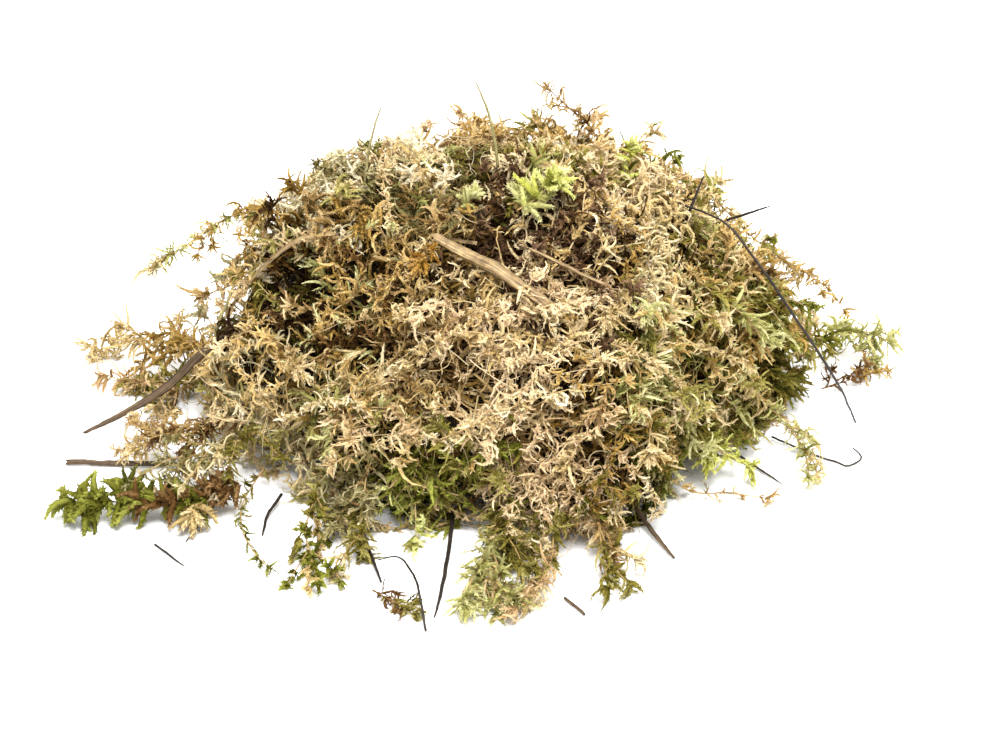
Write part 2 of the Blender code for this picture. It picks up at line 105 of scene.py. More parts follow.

# ---- Where on the mound each habit and palette grows: centre, reach, habit, palettes, tone and painted light ----
# A palette that is named twice has twice the share. The last value makes the moss lighter or darker there:
# partly its own tone, and partly painted shade in the pits and hollows or painted light where it lies in
# shade.
ZONES = {
    "ridge_left": ((-56, 11, 61), 14, "fine", "sage bleached bleached", 0.39),
    "ridge_middle": ((-34, 10, 71), 12, "fine", "sage sage tan pale_green", -0.45),
    "ridge_gold": ((-15, 6, 75), 10, "plain", "cream bleached tan", 0.37),
    "crown_olive": ((8, 12, 75), 12, "leafy", "olive olive pale_green cream", -0.24),
    "crown_right": ((27, 3, 74), 14, "plain", "cream bleached cream golden", 0.6),
    "claws": ((-45, -17, 67), 11, "tongue", "tan golden brown", -0.56),
    "middle_tan": ((-28, -21, 71), 10, "plain", "tan cream sage", -0.26),
    "gold_tuft": ((-21, -34, 67), 5, "bud", "gold gold golden", 0.05),
    "left_olive": ((-65, -1, 52), 12, "plain", "olive olive tan brown", 0.46),
    "left_gold": ((-71, -12, 40), 10, "plain", "golden olive", 0.05),
    # dark_left, and cave and hollow below, lie over pits: their low values are painted shade there
    "dark_left": ((-55, -21, 48), 13, "plain", "brown brown brown olive", -0.7),
    "middle_brown": ((-35, -29, 62), 10, "plain", "tan golden golden brown", 0.12),
    "tan_below_claws": ((-38, -34, 53), 10, "plain", "golden tan brown", -0.1),
    "hollow": ((14, -30, 67), 13, "curly", "mauve mauve mauve brown", -0.32),
    "gold_right": ((32, -17, 66), 9.5, "curly", "golden cream pink_tan", 0.39),
    "rim": ((38, -21, 64), 5, "strand", "cream golden olive", -0.15),
    "dark_right": ((49, -13, 61), 12, "leafy", "green olive brown brown", -0.45),
    "olive_right": ((61, -11, 52), 11, "plain", "olive golden tan cream", 0.23),
    "pale_right": ((52, -20, 51), 9, "curly", "olive golden cream", -0.19),
    "green_right": ((63, -20, 39), 11, "leafy", "olive golden pale_green", 0.0),
    "far_right": ((78, -6, 20), 14, "leafy", "green olive olive golden", -0.24),
    "low_right": ((59, -25, 9), 12, "leafy", "olive cream golden pale_green", 0.05),
    "cream_star": ((23, -45, 56), 8, "plain", "cream cream golden", 0),
    "centre": ((-1, -57, 48), 16, "curly", "cream pink_tan pink_tan cream", 0.44),
    "centre_left": ((-19, -53, 46), 12, "curly", "cream pink_tan cream tan", -0.1),
    "cream_left": ((-47, -42, 39), 12, "leafy", "cream pale_green golden", 0.15),
    "sage_left": ((-64, -31, 28), 13, "leafy", "sage cream golden", 0.6),
    "cave": ((-30, -38, 46), 6, "fine", "brown", -0.2),
    "yellow_tan": ((22, -56, 48), 9, "plain", "golden cream brown", -0.72),
    "yellow_green": ((42, -39, 41), 11, "leafy", "olive golden cream pale_green", 0.0),
    "pale_strand": ((24, -60, 40), 8, "plain", "cream pink_tan", 0),
    "cream_low": ((36, -56, 28), 8, "star", "cream golden", -0.21),
    "sage_low": ((-68, -32, 10), 13, "sparse", "sage olive tan", 0.6),
    "green_low_left": ((-55, -44, 16), 11, "plain", "olive sage cream", 0.38),
    "star_left": ((-31, -56, 31), 8, "star", "cream tan", 0),
    "green_leafy": ((-22, -60, 21), 11, "leafy", "green olive lime", 0.03),
    "threads": ((-42, -56, 16), 8, "fine", "tan brown sage", 0),
    "pink_low": ((9, -65, 26), 14, "fine", "pink_tan pink_tan tan", 0.34),
    "olive_low": ((26, -64, 30), 10, "leafy", "olive brown golden golden", -0.3),
    "green_low_right": ((39, -57, 12), 11, "leafy", "olive green golden", -0.44),
    "pink_front": ((14, -69, 17), 12, "fine", "pink_tan tan", 0.44),
    "olive_front": ((-9, -60, 17), 10, "leafy", "olive green tan", 0.04),
    "back_left": ((-42, 44, 48), 24, "plain", "sage tan cream", 0),
    "back_right": ((40, 46, 40), 22, "leafy", "olive cream green", 0),
    "back_top": ((0, 38, 66), 20, "curly", "tan golden pink_tan", 0),
    "back_foot": ((-6, 66, 12), 22, "plain", "olive brown cream", 0),
    "back_side_right": ((74, 26, 24), 18, "leafy", "green tan olive", 0),
    "back_side_left": ((-74, 26, 22), 20, "plain", "cream tan sage", 0),
}

# Pits in the mound: centre, reach, depth
PITS = {
    "ridge_back": ((-14, 20, 76), 16, 5),
    "upper_right": ((38, 10, 71), 10, 5),
    "right_shoulder": ((54, 8, 63), 10, 6),
    "foot_right": ((70, -19, 7), 12, 11),
    "foot_front_right": ((53, -30, 4), 10, 9),
    "dark_left": ((-55, -21, 48), 10, 8),
    "under_claws": ((-38, -34, 53), 8, 4),
    "cave": ((-30, -38, 46), 7, 7),
    "under_straw": ((2, -31, 67), 8, 4),
    "hollow": ((14, -31, 66), 11, 8),
    "behind_rim": ((49, -13, 61), 8, 4),
}

# ---- Single shoots, from root to tip, along the same lines as the solids they stand for ----
# Habit and palettes at the root and at the tip, side shoots, points. Side shoots: how many, how long,
# and between which turns from the shoot, in radians, to the left seen from above
LAID_SHOOTS = {
    "green_head": ("finger pale_green lime", (), (3, -22, 74), (8, -19, 76), (12, -16, 77)),
    "yellow_head": ("bud golden pale_green", (), (-13, -21, 74), (-8, -19, 76)),
    "golden_head": ("bud gold gold", (), (-19, -30, 70), (-22, -36, 67)),
    "pale_shoot_rim": (
        "strand cream bleached", (5, (6, 12), (-1.2, 1.2)),
        (43, -5, 68), (39, -20, 64), (35, -31, 58), (34, -37, 56),
    ),
    "cream_head": ("star cream cream", (), (31, -38, 59), (24, -46, 56)),
    "cream_head_low": ("star cream cream", (), (36, -54, 32), (34, -59, 26)),
    "pale_green_shoot": ("leafy olive pale_green", (), (49, -20, 52), (58, -21, 45), (67, -20, 35)),
    "tan_head_left": ("star tan cream", (), (-57, -31, 40), (-49, -40, 38)),
}
# Long shoots that lie over the others on the mound: habit, palettes, points
LONG_STRANDS = (
    ("frond", "cream bleached", (25, -14, 70), (32, -18, 67), (38, -21, 64), (39, -26, 60), (36, -32, 57)),
    ("frond", "bleached cream", (36, -20, 65), (41, -15, 67), (50, -2, 65), (57, 5, 59)),
    ("curly", "golden cream", (25, -18, 69), (33, -19, 66), (40, -22, 61), (41, -26, 54)),
    ("frond", "bleached cream", (25, -39, 59), (17, -40, 58), (11, -48, 57), (14, -52, 53), (22, -52, 51)),
    ("frond", "pink_tan mauve", (4, -30, 69), (10, -32, 66), (14, -36, 61)),
    ("frond", "pale_green cream", (40, -22, 61), (49, -23, 49), (58, -24, 36), (65, -22, 27)),
    ("frond", "pale_green golden", (46, -20, 57), (52, -19, 52), (60, -16, 48)),
    ("frond", "cream pale_green", (35, -38, 55), (44, -33, 43), (52, -27, 35), (64, -22, 27)),
    ("curly", "cream bleached", (41, -46, 34), (53, -30, 19), (61, -23, 12)),
    ("frond", "cream cream", (26, -50, 52), (35, -48, 46), (43, -42, 35)),
    ("frond", "cream golden", (10, -56, 48), (19, -58, 45), (30, -54, 44)),
    ("curly", "cream bleached", (-29, -50, 42), (-19, -50, 50), (-9, -51, 56), (4, -52, 53)),
    ("curly", "bleached cream", (-17, -60, 30), (-7, -61, 36), (6, -60, 42), (17, -59, 45)),
    ("frond", "cream bleached", (-33, -57, 27), (-22, -58, 31), (-13, -61, 29)),
    ("frond", "bleached cream", (-55, -41, 23), (-46, -47, 33), (-35, -52, 36)),
    ("frond", "pink_tan bleached", (28, -63, 28), (35, -61, 17), (38, -59, 7)),
    ("frond", "pink_tan tan", (-17, -54, 10), (-9, -57, 6), (1, -62, 10), (8, -62, 6)),
    ("plain", "cream golden", (-73, -22, 34), (-65, -21, 38), (-57, -33, 37)),
    ("plain", "bleached cream", (-76, -21, 23), (-69, -30, 22), (-60, -35, 27)),
    ("frond", "pink_tan cream", (-30, 15, 71), (-30, -9, 72), (-28, -24, 70)),
    ("frond", "tan sage", (-57, 6, 65), (-44, 13, 67), (-34, -1, 73)),
    ("sparse", "pale_green sage", (-43, -23, 63), (-38, -22, 67), (-32, -22, 69), (-28, -24, 70)),
    ("tongue", "tan tan", (-53, -2, 67), (-46, -15, 68), (-44, -21, 65)),
    ("tongue", "tan golden", (-44, -10, 71), (-38, -13, 71), (-36, -21, 68)),
)
TRAILING_SHOOTS = {
    "green_shoot_left": (
        "plump brown green", (6, (4, 8), (-1.3, 1.3)),
        (-70, -51, 9), (-86, -57, 7.5), (-100, -56, 7), (-109, -55, 6.5), (-117, -55, 5.5),
    ),
    "tan_shoot_left": (
        "plain golden cream", (10, (9, 20), (-1.2, 1.2)),
        (-74, -4, 20), (-86, 10, 14), (-97, 20, 10), (-110, 27, 7), (-121, 27, 5),
    ),
    "sage_shoot_left": (
        "plain olive pink_tan", (10, (9, 20), (-1.2, 1.2)),
        (-70, 0, 10), (-88, 5, 6), (-103, 6, 5), (-115, 13, 4),
    ),
    "pale_shoot_upper_left": (
        "fine golden pale_green", (9, (6, 12), (-0.6, 0.6)),
        (-58, -4, 65), (-72, 0, 63), (-82, 2, 56), (-90, 4, 49), (-97, 6, 43),
    ),
    "left_fringe": (
        "fine brown tan", (14, (10, 18), (-1.2, 1.2)),
        (-70, -29, 17), (-88, -33, 14), (-97, -29, 12), (-103, -20, 10),
    ),
    "left_fringe_low": (
        "fine olive sage", (16, (8, 16), (-0.7, 1.8)), (-66, -37, 17), (-80, -46, 16), (-92, -46, 14),
    ),
    "brown_shoot_top": (
        "fine brown tan", (6, (4, 8), (-1.2, 1.2)), (32, 11, 66), (24, 20, 78), (17, 23, 84), (11, 25, 89),
    ),
    "green_sprig_top": ("bud olive lime", (), (33, 7, 66), (34, 9, 79)),
    "arching_shoot_right": (
        "fine tan golden", (10, (6, 12), (-0.7, 0.7)),
        (34, 23, 65), (44, 27, 62), (52, 30, 58), (60, 33, 49), (68, 35, 39), (76, 37, 31), (86, 39, 23),
        (95, 41, 15), (100, 43, 6),
    ),
    "green_shoot_right": (
        "plain olive pale_green", (8, (6, 12), (-1.2, 1.2)),
        (74, 8, 20), (85, 18, 15), (94, 23, 12), (104, 26, 10), (112, 28, 8.5),
    ),
    "brown_curl_right": (
        "sparse brown golden", (6, (6, 12), (0.2, 1.6)),
        (90, 8, 2), (98, 11, 3), (105, 14, 3.5), (110, 16, 3),
    ),
    "pale_shoot_right": (
        "fine cream pale_green", (8, (6, 11), (-0.3, 1.2)),
        (62, -24, 27), (75, -24, 13), (81, -31, 7), (82, -41, 4),
    ),
    "green_shoot_front_right": (
        "leafy olive lime", (7, (8, 14), (-0.9, 0.9)), (46, -31, 22), (57, -36, 11), (66, -38, 6),
    ),
    "front_right_shoot": (
        "plain tan olive", (7, (6, 11), (-0.2, 1.2)), (23, -65, 15), (25, -80, 8), (26, -92, 5),
    ),
    "green_shoot_front": (
        "leafy olive pale_green", (17, (8, 17), (0.0, 1.4)),
        (-1, -62, 14), (-4, -76, 9), (-8, -88, 7), (-11, -99, 5),
    ),
    "tan_shoot_front": (
        "plain olive pink_tan", (8, (5, 10), (-0.9, 0.2)),
        (12, -64, 13), (12, -81, 8), (8, -92, 5.5), (1, -100, 4),
    ),
    "leafy_shoot_front_left": (
        "oval olive green", (8, (8, 15), (-0.7, 0.7)),
        (-47, -50, 13), (-52, -66, 7), (-50, -78, 5), (-48, -88, 4),
    ),
    "sage_shoot_front_left": (
        "plain sage olive", (12, (8, 16), (-0.9, 0.3)), (-38, -50, 14), (-38, -62, 9), (-37, -74, 5),
    ),
    "trailing_shoot_left": (
        "sparse olive green", (),
        (-65, -38, 6), (-70, -51, 3), (-69, -63, 2.6), (-65, -73, 2.4), (-61, -79, 2.2),
    ),
    "creeping_shoot_front": (
        "sparse brown olive", (5, (5, 9), (-1.0, 1.0)), (-34, -88, 1.8), (-29, -93, 2), (-25, -96, 2),
    ),
    "bare_shoot_right": ("sparse cream tan", (), (36, -45, 14), (49, -46, 4), (60, -45, 2.3), (71, -47, 2)),
    "back_shoot_left": (
        "plain sage tan", (8, (8, 18), (-1.0, 1.0)), (-48, 50, 30), (-62, 64, 14), (-72, 74, 6),
    ),
    "back_shoot_right": (
        "plain tan cream", (8, (8, 18), (-1.0, 1.0)), (42, 52, 26), (52, 68, 12), (56, 80, 5),
    ),
}

# ---- Straws, twigs and needles, from root to tip, along the same lines as their solids ----
# Sort, (width, thickness, share of them at the root, at the tip), points
LAID_STALKS = {
    "flat_straw": ("straw", (3.5, 1.2, 0.75, 1.0), (-18, -28, 70), (-4, -37, 67), (11, -44, 59)),
    "thin_stalk": ("straw", (1.1, 0.9, 0.7, 1.0), (6, -31, 68), (16, -33, 64), (25, -36, 61)),
    "upper_left_straw": ("straw", (2.0, 0.9, 0.8, 0.5), (-45, -19, 66), (-59, -12, 56), (-72, -9, 47)),
    "left_straw": ("green_straw", (1.8, 0.8, 0.6, 0.9), (-70, -1, 46), (-73, -8, 38), (-77, -10, 29)),
}
FREE_STALKS = {
    "long_dark_twig": (
        "twig", (0.8, 0.8, 0.6, 0.8),
        (46, -3, 68), (58, -14, 68), (67, -20, 59), (78, -24, 44), (90, -22, 23), (98, -8, 1.1),
    ),
    "dark_needle_upper_right": ("twig", (0.8, 0.8, 1.0, 0.3), (58, 7, 56), (72, 1, 65)),
    "brown_twig_upright": ("twig", (0.8, 0.8, 1.0, 0.5), (47, -4, 58), (50, -5, 68), (53, -3, 76)),
    "brown_blade": (
        "blade", (2.7, 0.9, 0.5, 0.35),
        (-68, -10, 37), (-79, -7, 28), (-86, -6, 21), (-93, -8, 14), (-103, -11, 8), (-117, -14, 1.4),
    ),
    "floor_straw": ("blade", (1.6, 1.3, 0.8, 1.0), (-84, -30, 1.6), (-102, -29, 1.2), (-120, -28, 1.0)),
    "top_stalk": ("green_straw", (0.8, 0.8, 1.0, 0.4), (-2, -5, 80), (-4, -4, 93), (-8, -2, 104)),
    "top_left_stalk": ("green_straw", (0.7, 0.7, 1.0, 0.6), (-38, -1, 72), (-36, 1, 84), (-33, 2, 94)),
    "black_needle_front": ("twig", (1.1, 1.1, 1.0, 0.4), (-14, -56, 3), (-15, -78, 1.6), (-18, -98, 0.7)),
    "arched_stalk": (
        "twig", (0.65, 0.65, 0.5, 1.0),
        (-33, -74, 1.2), (-28, -75, 3), (-24, -84, 5), (-22, -94, 6), (-20, -104, 0.9),
    ),
    "dark_stalk_front_left": ("twig", (0.9, 0.9, 1.0, 0.6), (-39, -56, 3), (-36, -69, 2), (-32, -83, 0.8)),
    "dark_rootlet": (
        "twig", (0.6, 0.6, 1.0, 0.6),
        (74, -16, 1.6), (86, -24, 0.6), (91, -27, 0.5), (94, -29, 0.5), (98, -25, 0.5), (96, -20, 0.5),
    ),
    "needle_right": ("twig", (0.8, 0.8, 1.0, 0.3), (57, -20, 4), (67, -29, 1.5), (75, -38, 0.6)),
    "stick_right": ("blade", (1.4, 0.9, 1.0, 0.5), (31, -48, 8), (38, -62, 3), (44, -73, 1.0)),
    "short_stick_front": ("blade", (0.9, 0.8, 0.9, 0.9), (15, -90, 0.9), (20, -97, 0.8)),
    "needle_left": ("twig", (0.8, 0.8, 1.0, 0.3), (-76, -44, 1.2), (-84, -65, 0.6)),
    "needle_far_left": ("twig", (0.6, 0.6, 1.0, 0.3), (-92, -66, 0.6), (-83, -76, 0.5)),
    "needle_left_upright": (
        "twig", (0.9, 0.9, 1.0, 0.5), (-60, -46, 2.5), (-63, -54, 1.8), (-64, -62, 0.7),
    ),
}
# For each sort: the record's slot, ribs round it, their depth as a share, dark, middle and light colours
STALK_SORTS = {
    "straw": ("straw_tan", 9, 0.24, ((36, 24, 12), (124, 100, 64), (190, 168, 124))),
    "blade": ("straw_tan", 5, 0.2, ((20, 14, 8), (68, 51, 32), (124, 101, 70))),
    "green_straw": ("straw_tan", 5, 0.1, ((60, 54, 28), (128, 118, 72), (184, 174, 126))),
    "twig": ("twig_dark", 4, 0.08, ((10, 7, 5), (28, 20, 14), (70, 54, 38))),
}
STREAKS = (18, 3, 1)  # in the pattern on a stalk: round it, along it
STALK_SIDES = 14
STALK_LIFT = 3.0  # of a laid straw, over the smoothed skin
STALK_FACING = np.array((0.0, -0.6, 0.8))  # the way that a free stalk's flat side faces
STALK_WAVER, STALK_UNEVEN, RIB_UNEVEN = 0.05, 0.04, 0.02
RIB_TWIST = 0.8  # radians that the ribs turn round a stalk, at most
TORN = 0.25  # how far its torn ends reach, as a share of its width

# ---- The mound's own shoots ----
# For each layer: shoots, how deep they lie, length, share of the habit's leaves, how much darker: partly
# the browner moss deep in, partly painted shade
LAYERS = {
    "deep": (60, (6.5, 10), (26, 42), 0.45, 0.1),
    "middle": (165, (2.5, 6.5), (24, 44), 0.75, 0.03),
    "outer": (186, (-1.5, 2.5), (18, 42), 1.0, 0.0),
}
# Stems without leaves, and thin shoots with short branches: how many, how deep they lie, length
BARE_STEMS = (24, (-2.5, -0.5), (16, 32))
FRONDS = (40, (-3.5, -1.5), (22, 44))
# Short shoots that stick out: how many, depth of their roots, length, lean, sag, waver
SPRIGS = (190, (2, 4), (9, 20), (0.5, 1.25), 0.25, 0.12)
# Loose strands: how many, depth of their roots, length, half width, shade, how far out, curl, sides
LOOSE_STRANDS = {
    # The litter's low shade is painted shade in the gaps between the shoots
    "litter": (5800, (4.5, 9.5), (7, 16), (0.2, 0.7), 0.4, 0.0, 1.5, 2),
    "threads": (1050, (-1, 3), (4, 16), (0.07, 0.2), 0.65, 0.4, 2.8, 3),
}
# Each kind has random numbers of its own, so that a change to one leaves the others as they are
STREAMS = {"bare": 40, "sprigs": 41, "long": 42, "fronds": 43, "loose": 50, "core": 60}
SHOOT_STREAMS, STALK_STREAMS = 100, 200  # the first of them
SPRIG_STEPS, STRAND_STEPS, BRANCH_STEPS = 6, 5, 4
LINE_STEP, WALK_STEP, STEM_STEP = 1.2, 2.0, 1.6
WANDER, DEPTH_WANDER = 0.36, 0.9  # of a shoot on the mound at each step, in radians and in millimetres
WALK_SAG, STRAND_SAG = 0.04, 0.06
START_REACH = 60  # from the heart to where a line starts, before it is laid on the skin
# Sines of the angles from level at which shoots and strands start: the lowest, and how far up from it
LOWEST_START, SHOOT_STARTS, STRAND_STARTS = -0.1, 1.08, 1.1
STRAND_CROWDING = (1, 1, 0.9)  # of strands to each side and upwards
OUT_VARIES, STRAND_TWIST = (-0.25, 1.75), 0.4
# Side shoots: how far up the shoot they start, how steeply they rise, sag, waver
SIDE_STARTS, SIDE_RISES, SIDE_SAG, SIDE_WAVER = (0.02, 0.85), (-0.25, 0.45), 0.3, 0.15
TOP = 0.72  # sine of the angle over which moss belongs to the top
NEARLY_NONE = 1e-12  # the least share of a zone
SIDES = ("right", "back_right", "back_left", "left", "front_left", "front_right")
LONG_STRAND_DEPTH = -3.2
HEAD_DEPTH, HEAD_RISE = -3.5, 3.5  # of the laid shoots, which lie over the smoothed skin and rise
LOW_HEADS = {"golden_head": (-2.0, 2.0)}  # where these differ

# ---- Shades, from 0 for dark to 1 for light ----
# Of each kind of thing, and then how much it varies
MOUND_SHADE, BARE_SHADE, SPRIG_SHADE, FROND_SHADE, TONGUE_SHADE = 0.5, 0.55, 0.55, 0.56, 0.28
SHOOT_SHADE, SIDE_SHOOT_SHADE = 0.58, 0.5
MOUND_VARIES, SIDE_SHOOT_VARIES, BRANCH_VARIES, LEAF_VARIES, STRAND_VARIES = 0.09, 0.08, 0.16, 0.06, 0.15
HEAD_LIGHTER = 0.1  # than the branches under it
STALK_DARKER, STALK_LIGHTENS = 0.1, 0.15  # a branch's stalk, at its base, and from there to its tip
# Painted shade deep in the mound, partly also the browner moss inside
DEEPER_BROWNER_AND_SHADED = 0.041  # for each millimetre under the skin
SHADED_DEPTHS = (-5, 9)  # between which that holds
SHADE_RANGE = (0.02, 0.98)
SIDE_SHIFT = 0.3  # of a leaf's edge in the UV map, as a share of the palette's row

# ---- Branches: lengths and widths are shares of the habit's ----
BACK_MARGIN = 0.5  # radians that branches may turn back towards the mound
HEAD_DEEP = 1.5  # how far under a shoot's tip its head's branches start, at most
TURN_VARIES, ANGLE_VARIES, TWIST = 0.7, 0.4, 0.5  # radians
HEAD_ANGLES = (0.15, 1.6)  # radians from the stem
LENGTHS, CURLS, DROOPS, WIDTHS = (0.5, 1.15), (0.3, 1.6), (0.2, 1.8), (0.7, 1.3)
LONG_SHARE, LONGER, HEAD_SHORTER = 0.08, 1.4, 0.75  # the share of branches that are so much longer
ODD_SHARE = 0.22  # of branches, which have a stray palette
TIP_STARTS, TIP_TAKES = 0.15, 0.5  # where up a shoot its tip's palette sets in, and over how much
STEM_SIDES, STEM_RADII = 4, (0.26, 0.15)  # the radii are at the root and at the tip
# A branch's own stalk: its half width at each step
FLAT_STALK = (0.3, 0.38, 0.35, 0.25, 0.06)
PLUMP_STALK = (0.24, 0.3, 0.28, 0.2, 0.04)

# ---- Leaves ----
# half: half its breadth, as a share of the branch's width; lightens: from the branch's base to its tip;
# for each point, which side of the leaf it is on, and how much lighter it is
Leaf = namedtuple("Leaf", "half lightens faces sides lighter")
FLAT_LEAF = Leaf(0.38, 0.2, ((0, 1, 2),), (1.0, 0.0, -1.0), (-0.06, 0.14, -0.02))
FOLDED_LEAF = Leaf(0.28, 0.36, ((0, 1, 2), (0, 2, 3)), (0.0, 1.0, 0.3, -1.0), (-0.1, 0.0, 0.14, 0.02))
# Where along a leaf its broadest is, how far that is bent in there, and how far out its root stands
FOLD_AT, FOLD_IN, FOLD_OUT = 0.42, 0.45, 0.25
FEWEST_LEAVES = 3
FIRST_LEAF, LAST_LEAF = 0.4, 0.97
GOLDEN_TURN = 2.4  # radians from one leaf to the next, round a branch
ANY_TURN = 6.28  # radians, almost once round
BRANCH_LEANS, LEAF_LEANS = (0.7, 1.3), (0.5, 1.6)  # as shares of the habit's spread
LEAF_SIZES = (0.7, 1.25)
LEAF_SHORTENS, LEAF_NARROWS = 0.35, 0.6  # shares lost towards the branch's tip
LEAF_TUCK = 0.15  # share of a leaf that is under its place


# ---- Small helpers ----
def draws(*stream):
    return np.random.default_rng((SEED, *stream))


def unit(vectors):
    return vectors / np.maximum(np.linalg.norm(vectors, axis=-1, keepdims=True), 1e-9)


def ways_at(rises, turns):
    """Unit vectors, from their angles up from level and round from +X, in radians."""
    flat = np.cos(rises)
    return np.stack([flat * np.cos(turns), flat * np.sin(turns), np.sin(rises)], -1)


def turned(vectors, axes, angles):
    """Vectors turned about unit axes, by angles in radians."""
    c, s = np.cos(angles)[:, None], np.sin(angles)[:, None]
    return vectors * c + np.cross(axes, vectors) * s + axes * (axes * vectors).sum(1)[:, None] * (1 - c)


def keep_above(height, points):
    points[..., 2] = np.maximum(points[..., 2], height)


def linear(rgb):
    """An sRGB colour, from 0 to 255, as the renderer's linear one."""
    parts = [c / 255 for c in rgb]
    return [c / 12.92 if c < 0.04045 else ((c + 0.055) / 1.055) ** 2.4 for c in parts] + [1]


def smooth_line(points, pieces=16):
    """Evenly spaced points on the smooth curve through these ones."""
    points = np.array(points, float)
    ends = np.vstack([points[:1], points, points[-1:]])
    share = np.linspace(0, 1, pieces + 1)[:-1, None]
    runs = []
    for before, here, there, after in zip(ends, ends[1:], ends[2:], ends[3:]):
        runs.append(0.5 * (
            2 * here
            + (there - before) * share
            + (2 * before - 5 * here + 4 * there - after) * share**2
            + (3 * here - before - 3 * there + after) * share**3
        ))
    fine = np.vstack(runs + [points[-1:]])
    travelled = distances_along(fine)
    wanted = np.linspace(0, travelled[-1], max(3, round(travelled[-1] / LINE_STEP) + 1))
    return at_distances(wanted, travelled, fine)


def distances_along(line):
    return np.append(0, np.linalg.norm(np.diff(line, axis=0), axis=1).cumsum())


def at_distances(wanted, travelled, given):
    """What is given for each point of a line, found at these distances along it."""
    return np.stack([np.interp(wanted, travelled, given[:, k]) for k in range(3)], 1)


def ring_faces(rings, sides):
    """The faces of a closed skin through rings of this many points, with a face at each end."""
    k = np.arange(sides)
    after = (k + 1) % sides
    band = np.stack([k, after, after + sides, k + sides], 1)
    faces = (band + sides * np.arange(rings - 1)[:, None, None]).reshape(-1, 4).tolist()
    return faces + [k[::-1].tolist(), (k + (rings - 1) * sides).tolist()]


def new_mesh(name, points, faces):
    mesh = bpy.data.meshes.new(name)
    mesh.from_pydata(points * MM, [], faces)
    return mesh


def add_to_scene(name, data):
    made = bpy.data.objects.new(name, data)
    bpy.context.scene.collection.objects.link(made)
    return made


def add_piece(name, mesh, slot, *replaced):
    piece = add_to_scene(name, mesh)
    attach(piece, "root")
    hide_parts(*replaced)


# ---- The mound's skin ----
class Skin:
    """How far the mound's surface is from its heart, each way, with its tufts smoothed out."""

    LOWEST, RISE_STEP, TURN_STEP = -9, 3, 5  # degrees
    RISES = np.radians(np.arange(LOWEST, 91, RISE_STEP))
    TURNS = np.radians(np.arange(0, 360, TURN_STEP))

    def __init__(self, node, pits=()):
        tree = BVHTree.FromObject(node, bpy.context.evaluated_depsgraph_get())
        heart = Vector(HEART * MM)
        ways = ways_at(*np.meshgrid(self.RISES, self.TURNS, indexing="ij"))
        reach = np.array([[tree.ray_cast(heart, Vector(way))[3] / MM for way in row] for row in ways])
        reach = (np.roll(reach, 1, 1) + 2 * reach + np.roll(reach, -1, 1)) / 4
        padded = np.vstack([reach[:1], reach, reach[-1:]])
        reach = (padded[:-2] + 2 * padded[1:-1] + padded[2:]) / 4
        shape = HEART + ways * reach[..., None]
        for centre, width, depth in pits:
            apart = np.linalg.norm(shape - centre, axis=2)
            reach -= depth * np.exp(-((apart / width) ** 2))
        self.reach = reach

    def along(self, ways):
        """Distance from the heart to the skin, along unit vectors."""
        rise = np.degrees(np.arcsin(np.clip(ways[:, 2], -1, 1)))
        turn = np.degrees(np.arctan2(ways[:, 1], ways[:, 0])) % 360
        last = len(self.RISES) - 1.001  # so that there is a row above
        row = np.clip((rise - self.LOWEST) / self.RISE_STEP, 0, last)
        column = turn / self.TURN_STEP
        r, c = row.astype(int), column.astype(int) % len(self.TURNS)
        fr, fc = row - r, column - np.floor(column)
        there = (c + 1) % len(self.TURNS)
        low = self.reach[r, c] * (1 - fc) + self.reach[r, there] * fc
        high = self.reach[r + 1, c] * (1 - fc) + self.reach[r + 1, there] * fc
        return low * (1 - fr) + high * fr

    def depth(self, points):
        """How far points are under the skin."""
        offset = points - HEART
        return self.along(unit(offset)) - np.linalg.norm(offset, axis=1)

    def laid(self, points, depth):
        """Points moved straight from the heart to this depth under the skin, but not under the floor."""
        ways = unit(points - HEART)
        found = HEART + ways * (self.along(ways) - depth)[:, None]
        keep_above(LAID_FLOOR, found)
        return found


skin = Skin(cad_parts["moss_mound"], PITS.values())
unpitted = Skin(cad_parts["moss_mound"])


# ---- Branches ----
class Tangle:
    """Gathers the leaves and stalks of one piece, then makes its mesh."""

    def __init__(self):
        self.parts = []
        self.count = 0

    def add(self, points, faces, shades, sides, rows, smooth):
        """Points, faces of three points, and for each point its shade, its side and its palette's row."""
        points, faces = points.reshape(-1, 3), faces.reshape(-1, 3) + self.count
        smooth = np.full(len(faces), smooth)
        self.parts.append((points, faces, shades.ravel(), sides.ravel(), rows, smooth))
        self.count += len(points)

    def made(self, name, slot, *replaced, paint_depth_shade=False):
        """The piece, in place of these nodes. What is deep in the mound is darker: painted shade, and
        partly the browner moss inside.
        """
        points, faces, shades, sides, rows, smooth = map(np.concatenate, zip(*self.parts))
        keep_above(FLOOR, points)
        if paint_depth_shade:
            # Painted shade: the deeper a point is under the skin, the darker, partly also browner moss
            shades = shades - DEEPER_BROWNER_AND_SHADED * np.clip(skin.depth(points), *SHADED_DEPTHS)
        mesh = new_mesh(name, points, faces)
        u = np.clip(shades, *SHADE_RANGE)
        v = (rows + 0.5 + SIDE_SHIFT * sides) / len(ROWS)
        layer = mesh.uv_layers.new(name="OFBake")
        layer.uv.foreach_set("vector", np.stack([u, v], 1)[faces.ravel()].ravel())
        used = np.unique(rows)
        for row in used:
            mesh.materials.append(MOSS[row])
        mesh.polygons.foreach_set("material_index", np.searchsorted(used, rows[faces[:, 0]]))
        mesh.polygons.foreach_set("use_smooth", smooth)
        mesh.update()
        add_piece(name, mesh, slot, *replaced)


def frames(lines, axes):
    """Along, across and out at each point of each line."""
    along = unit(np.gradient(lines, axis=1))
    across = unit(np.cross(along, axes[:, None]))
    return along, across, np.cross(along, across)


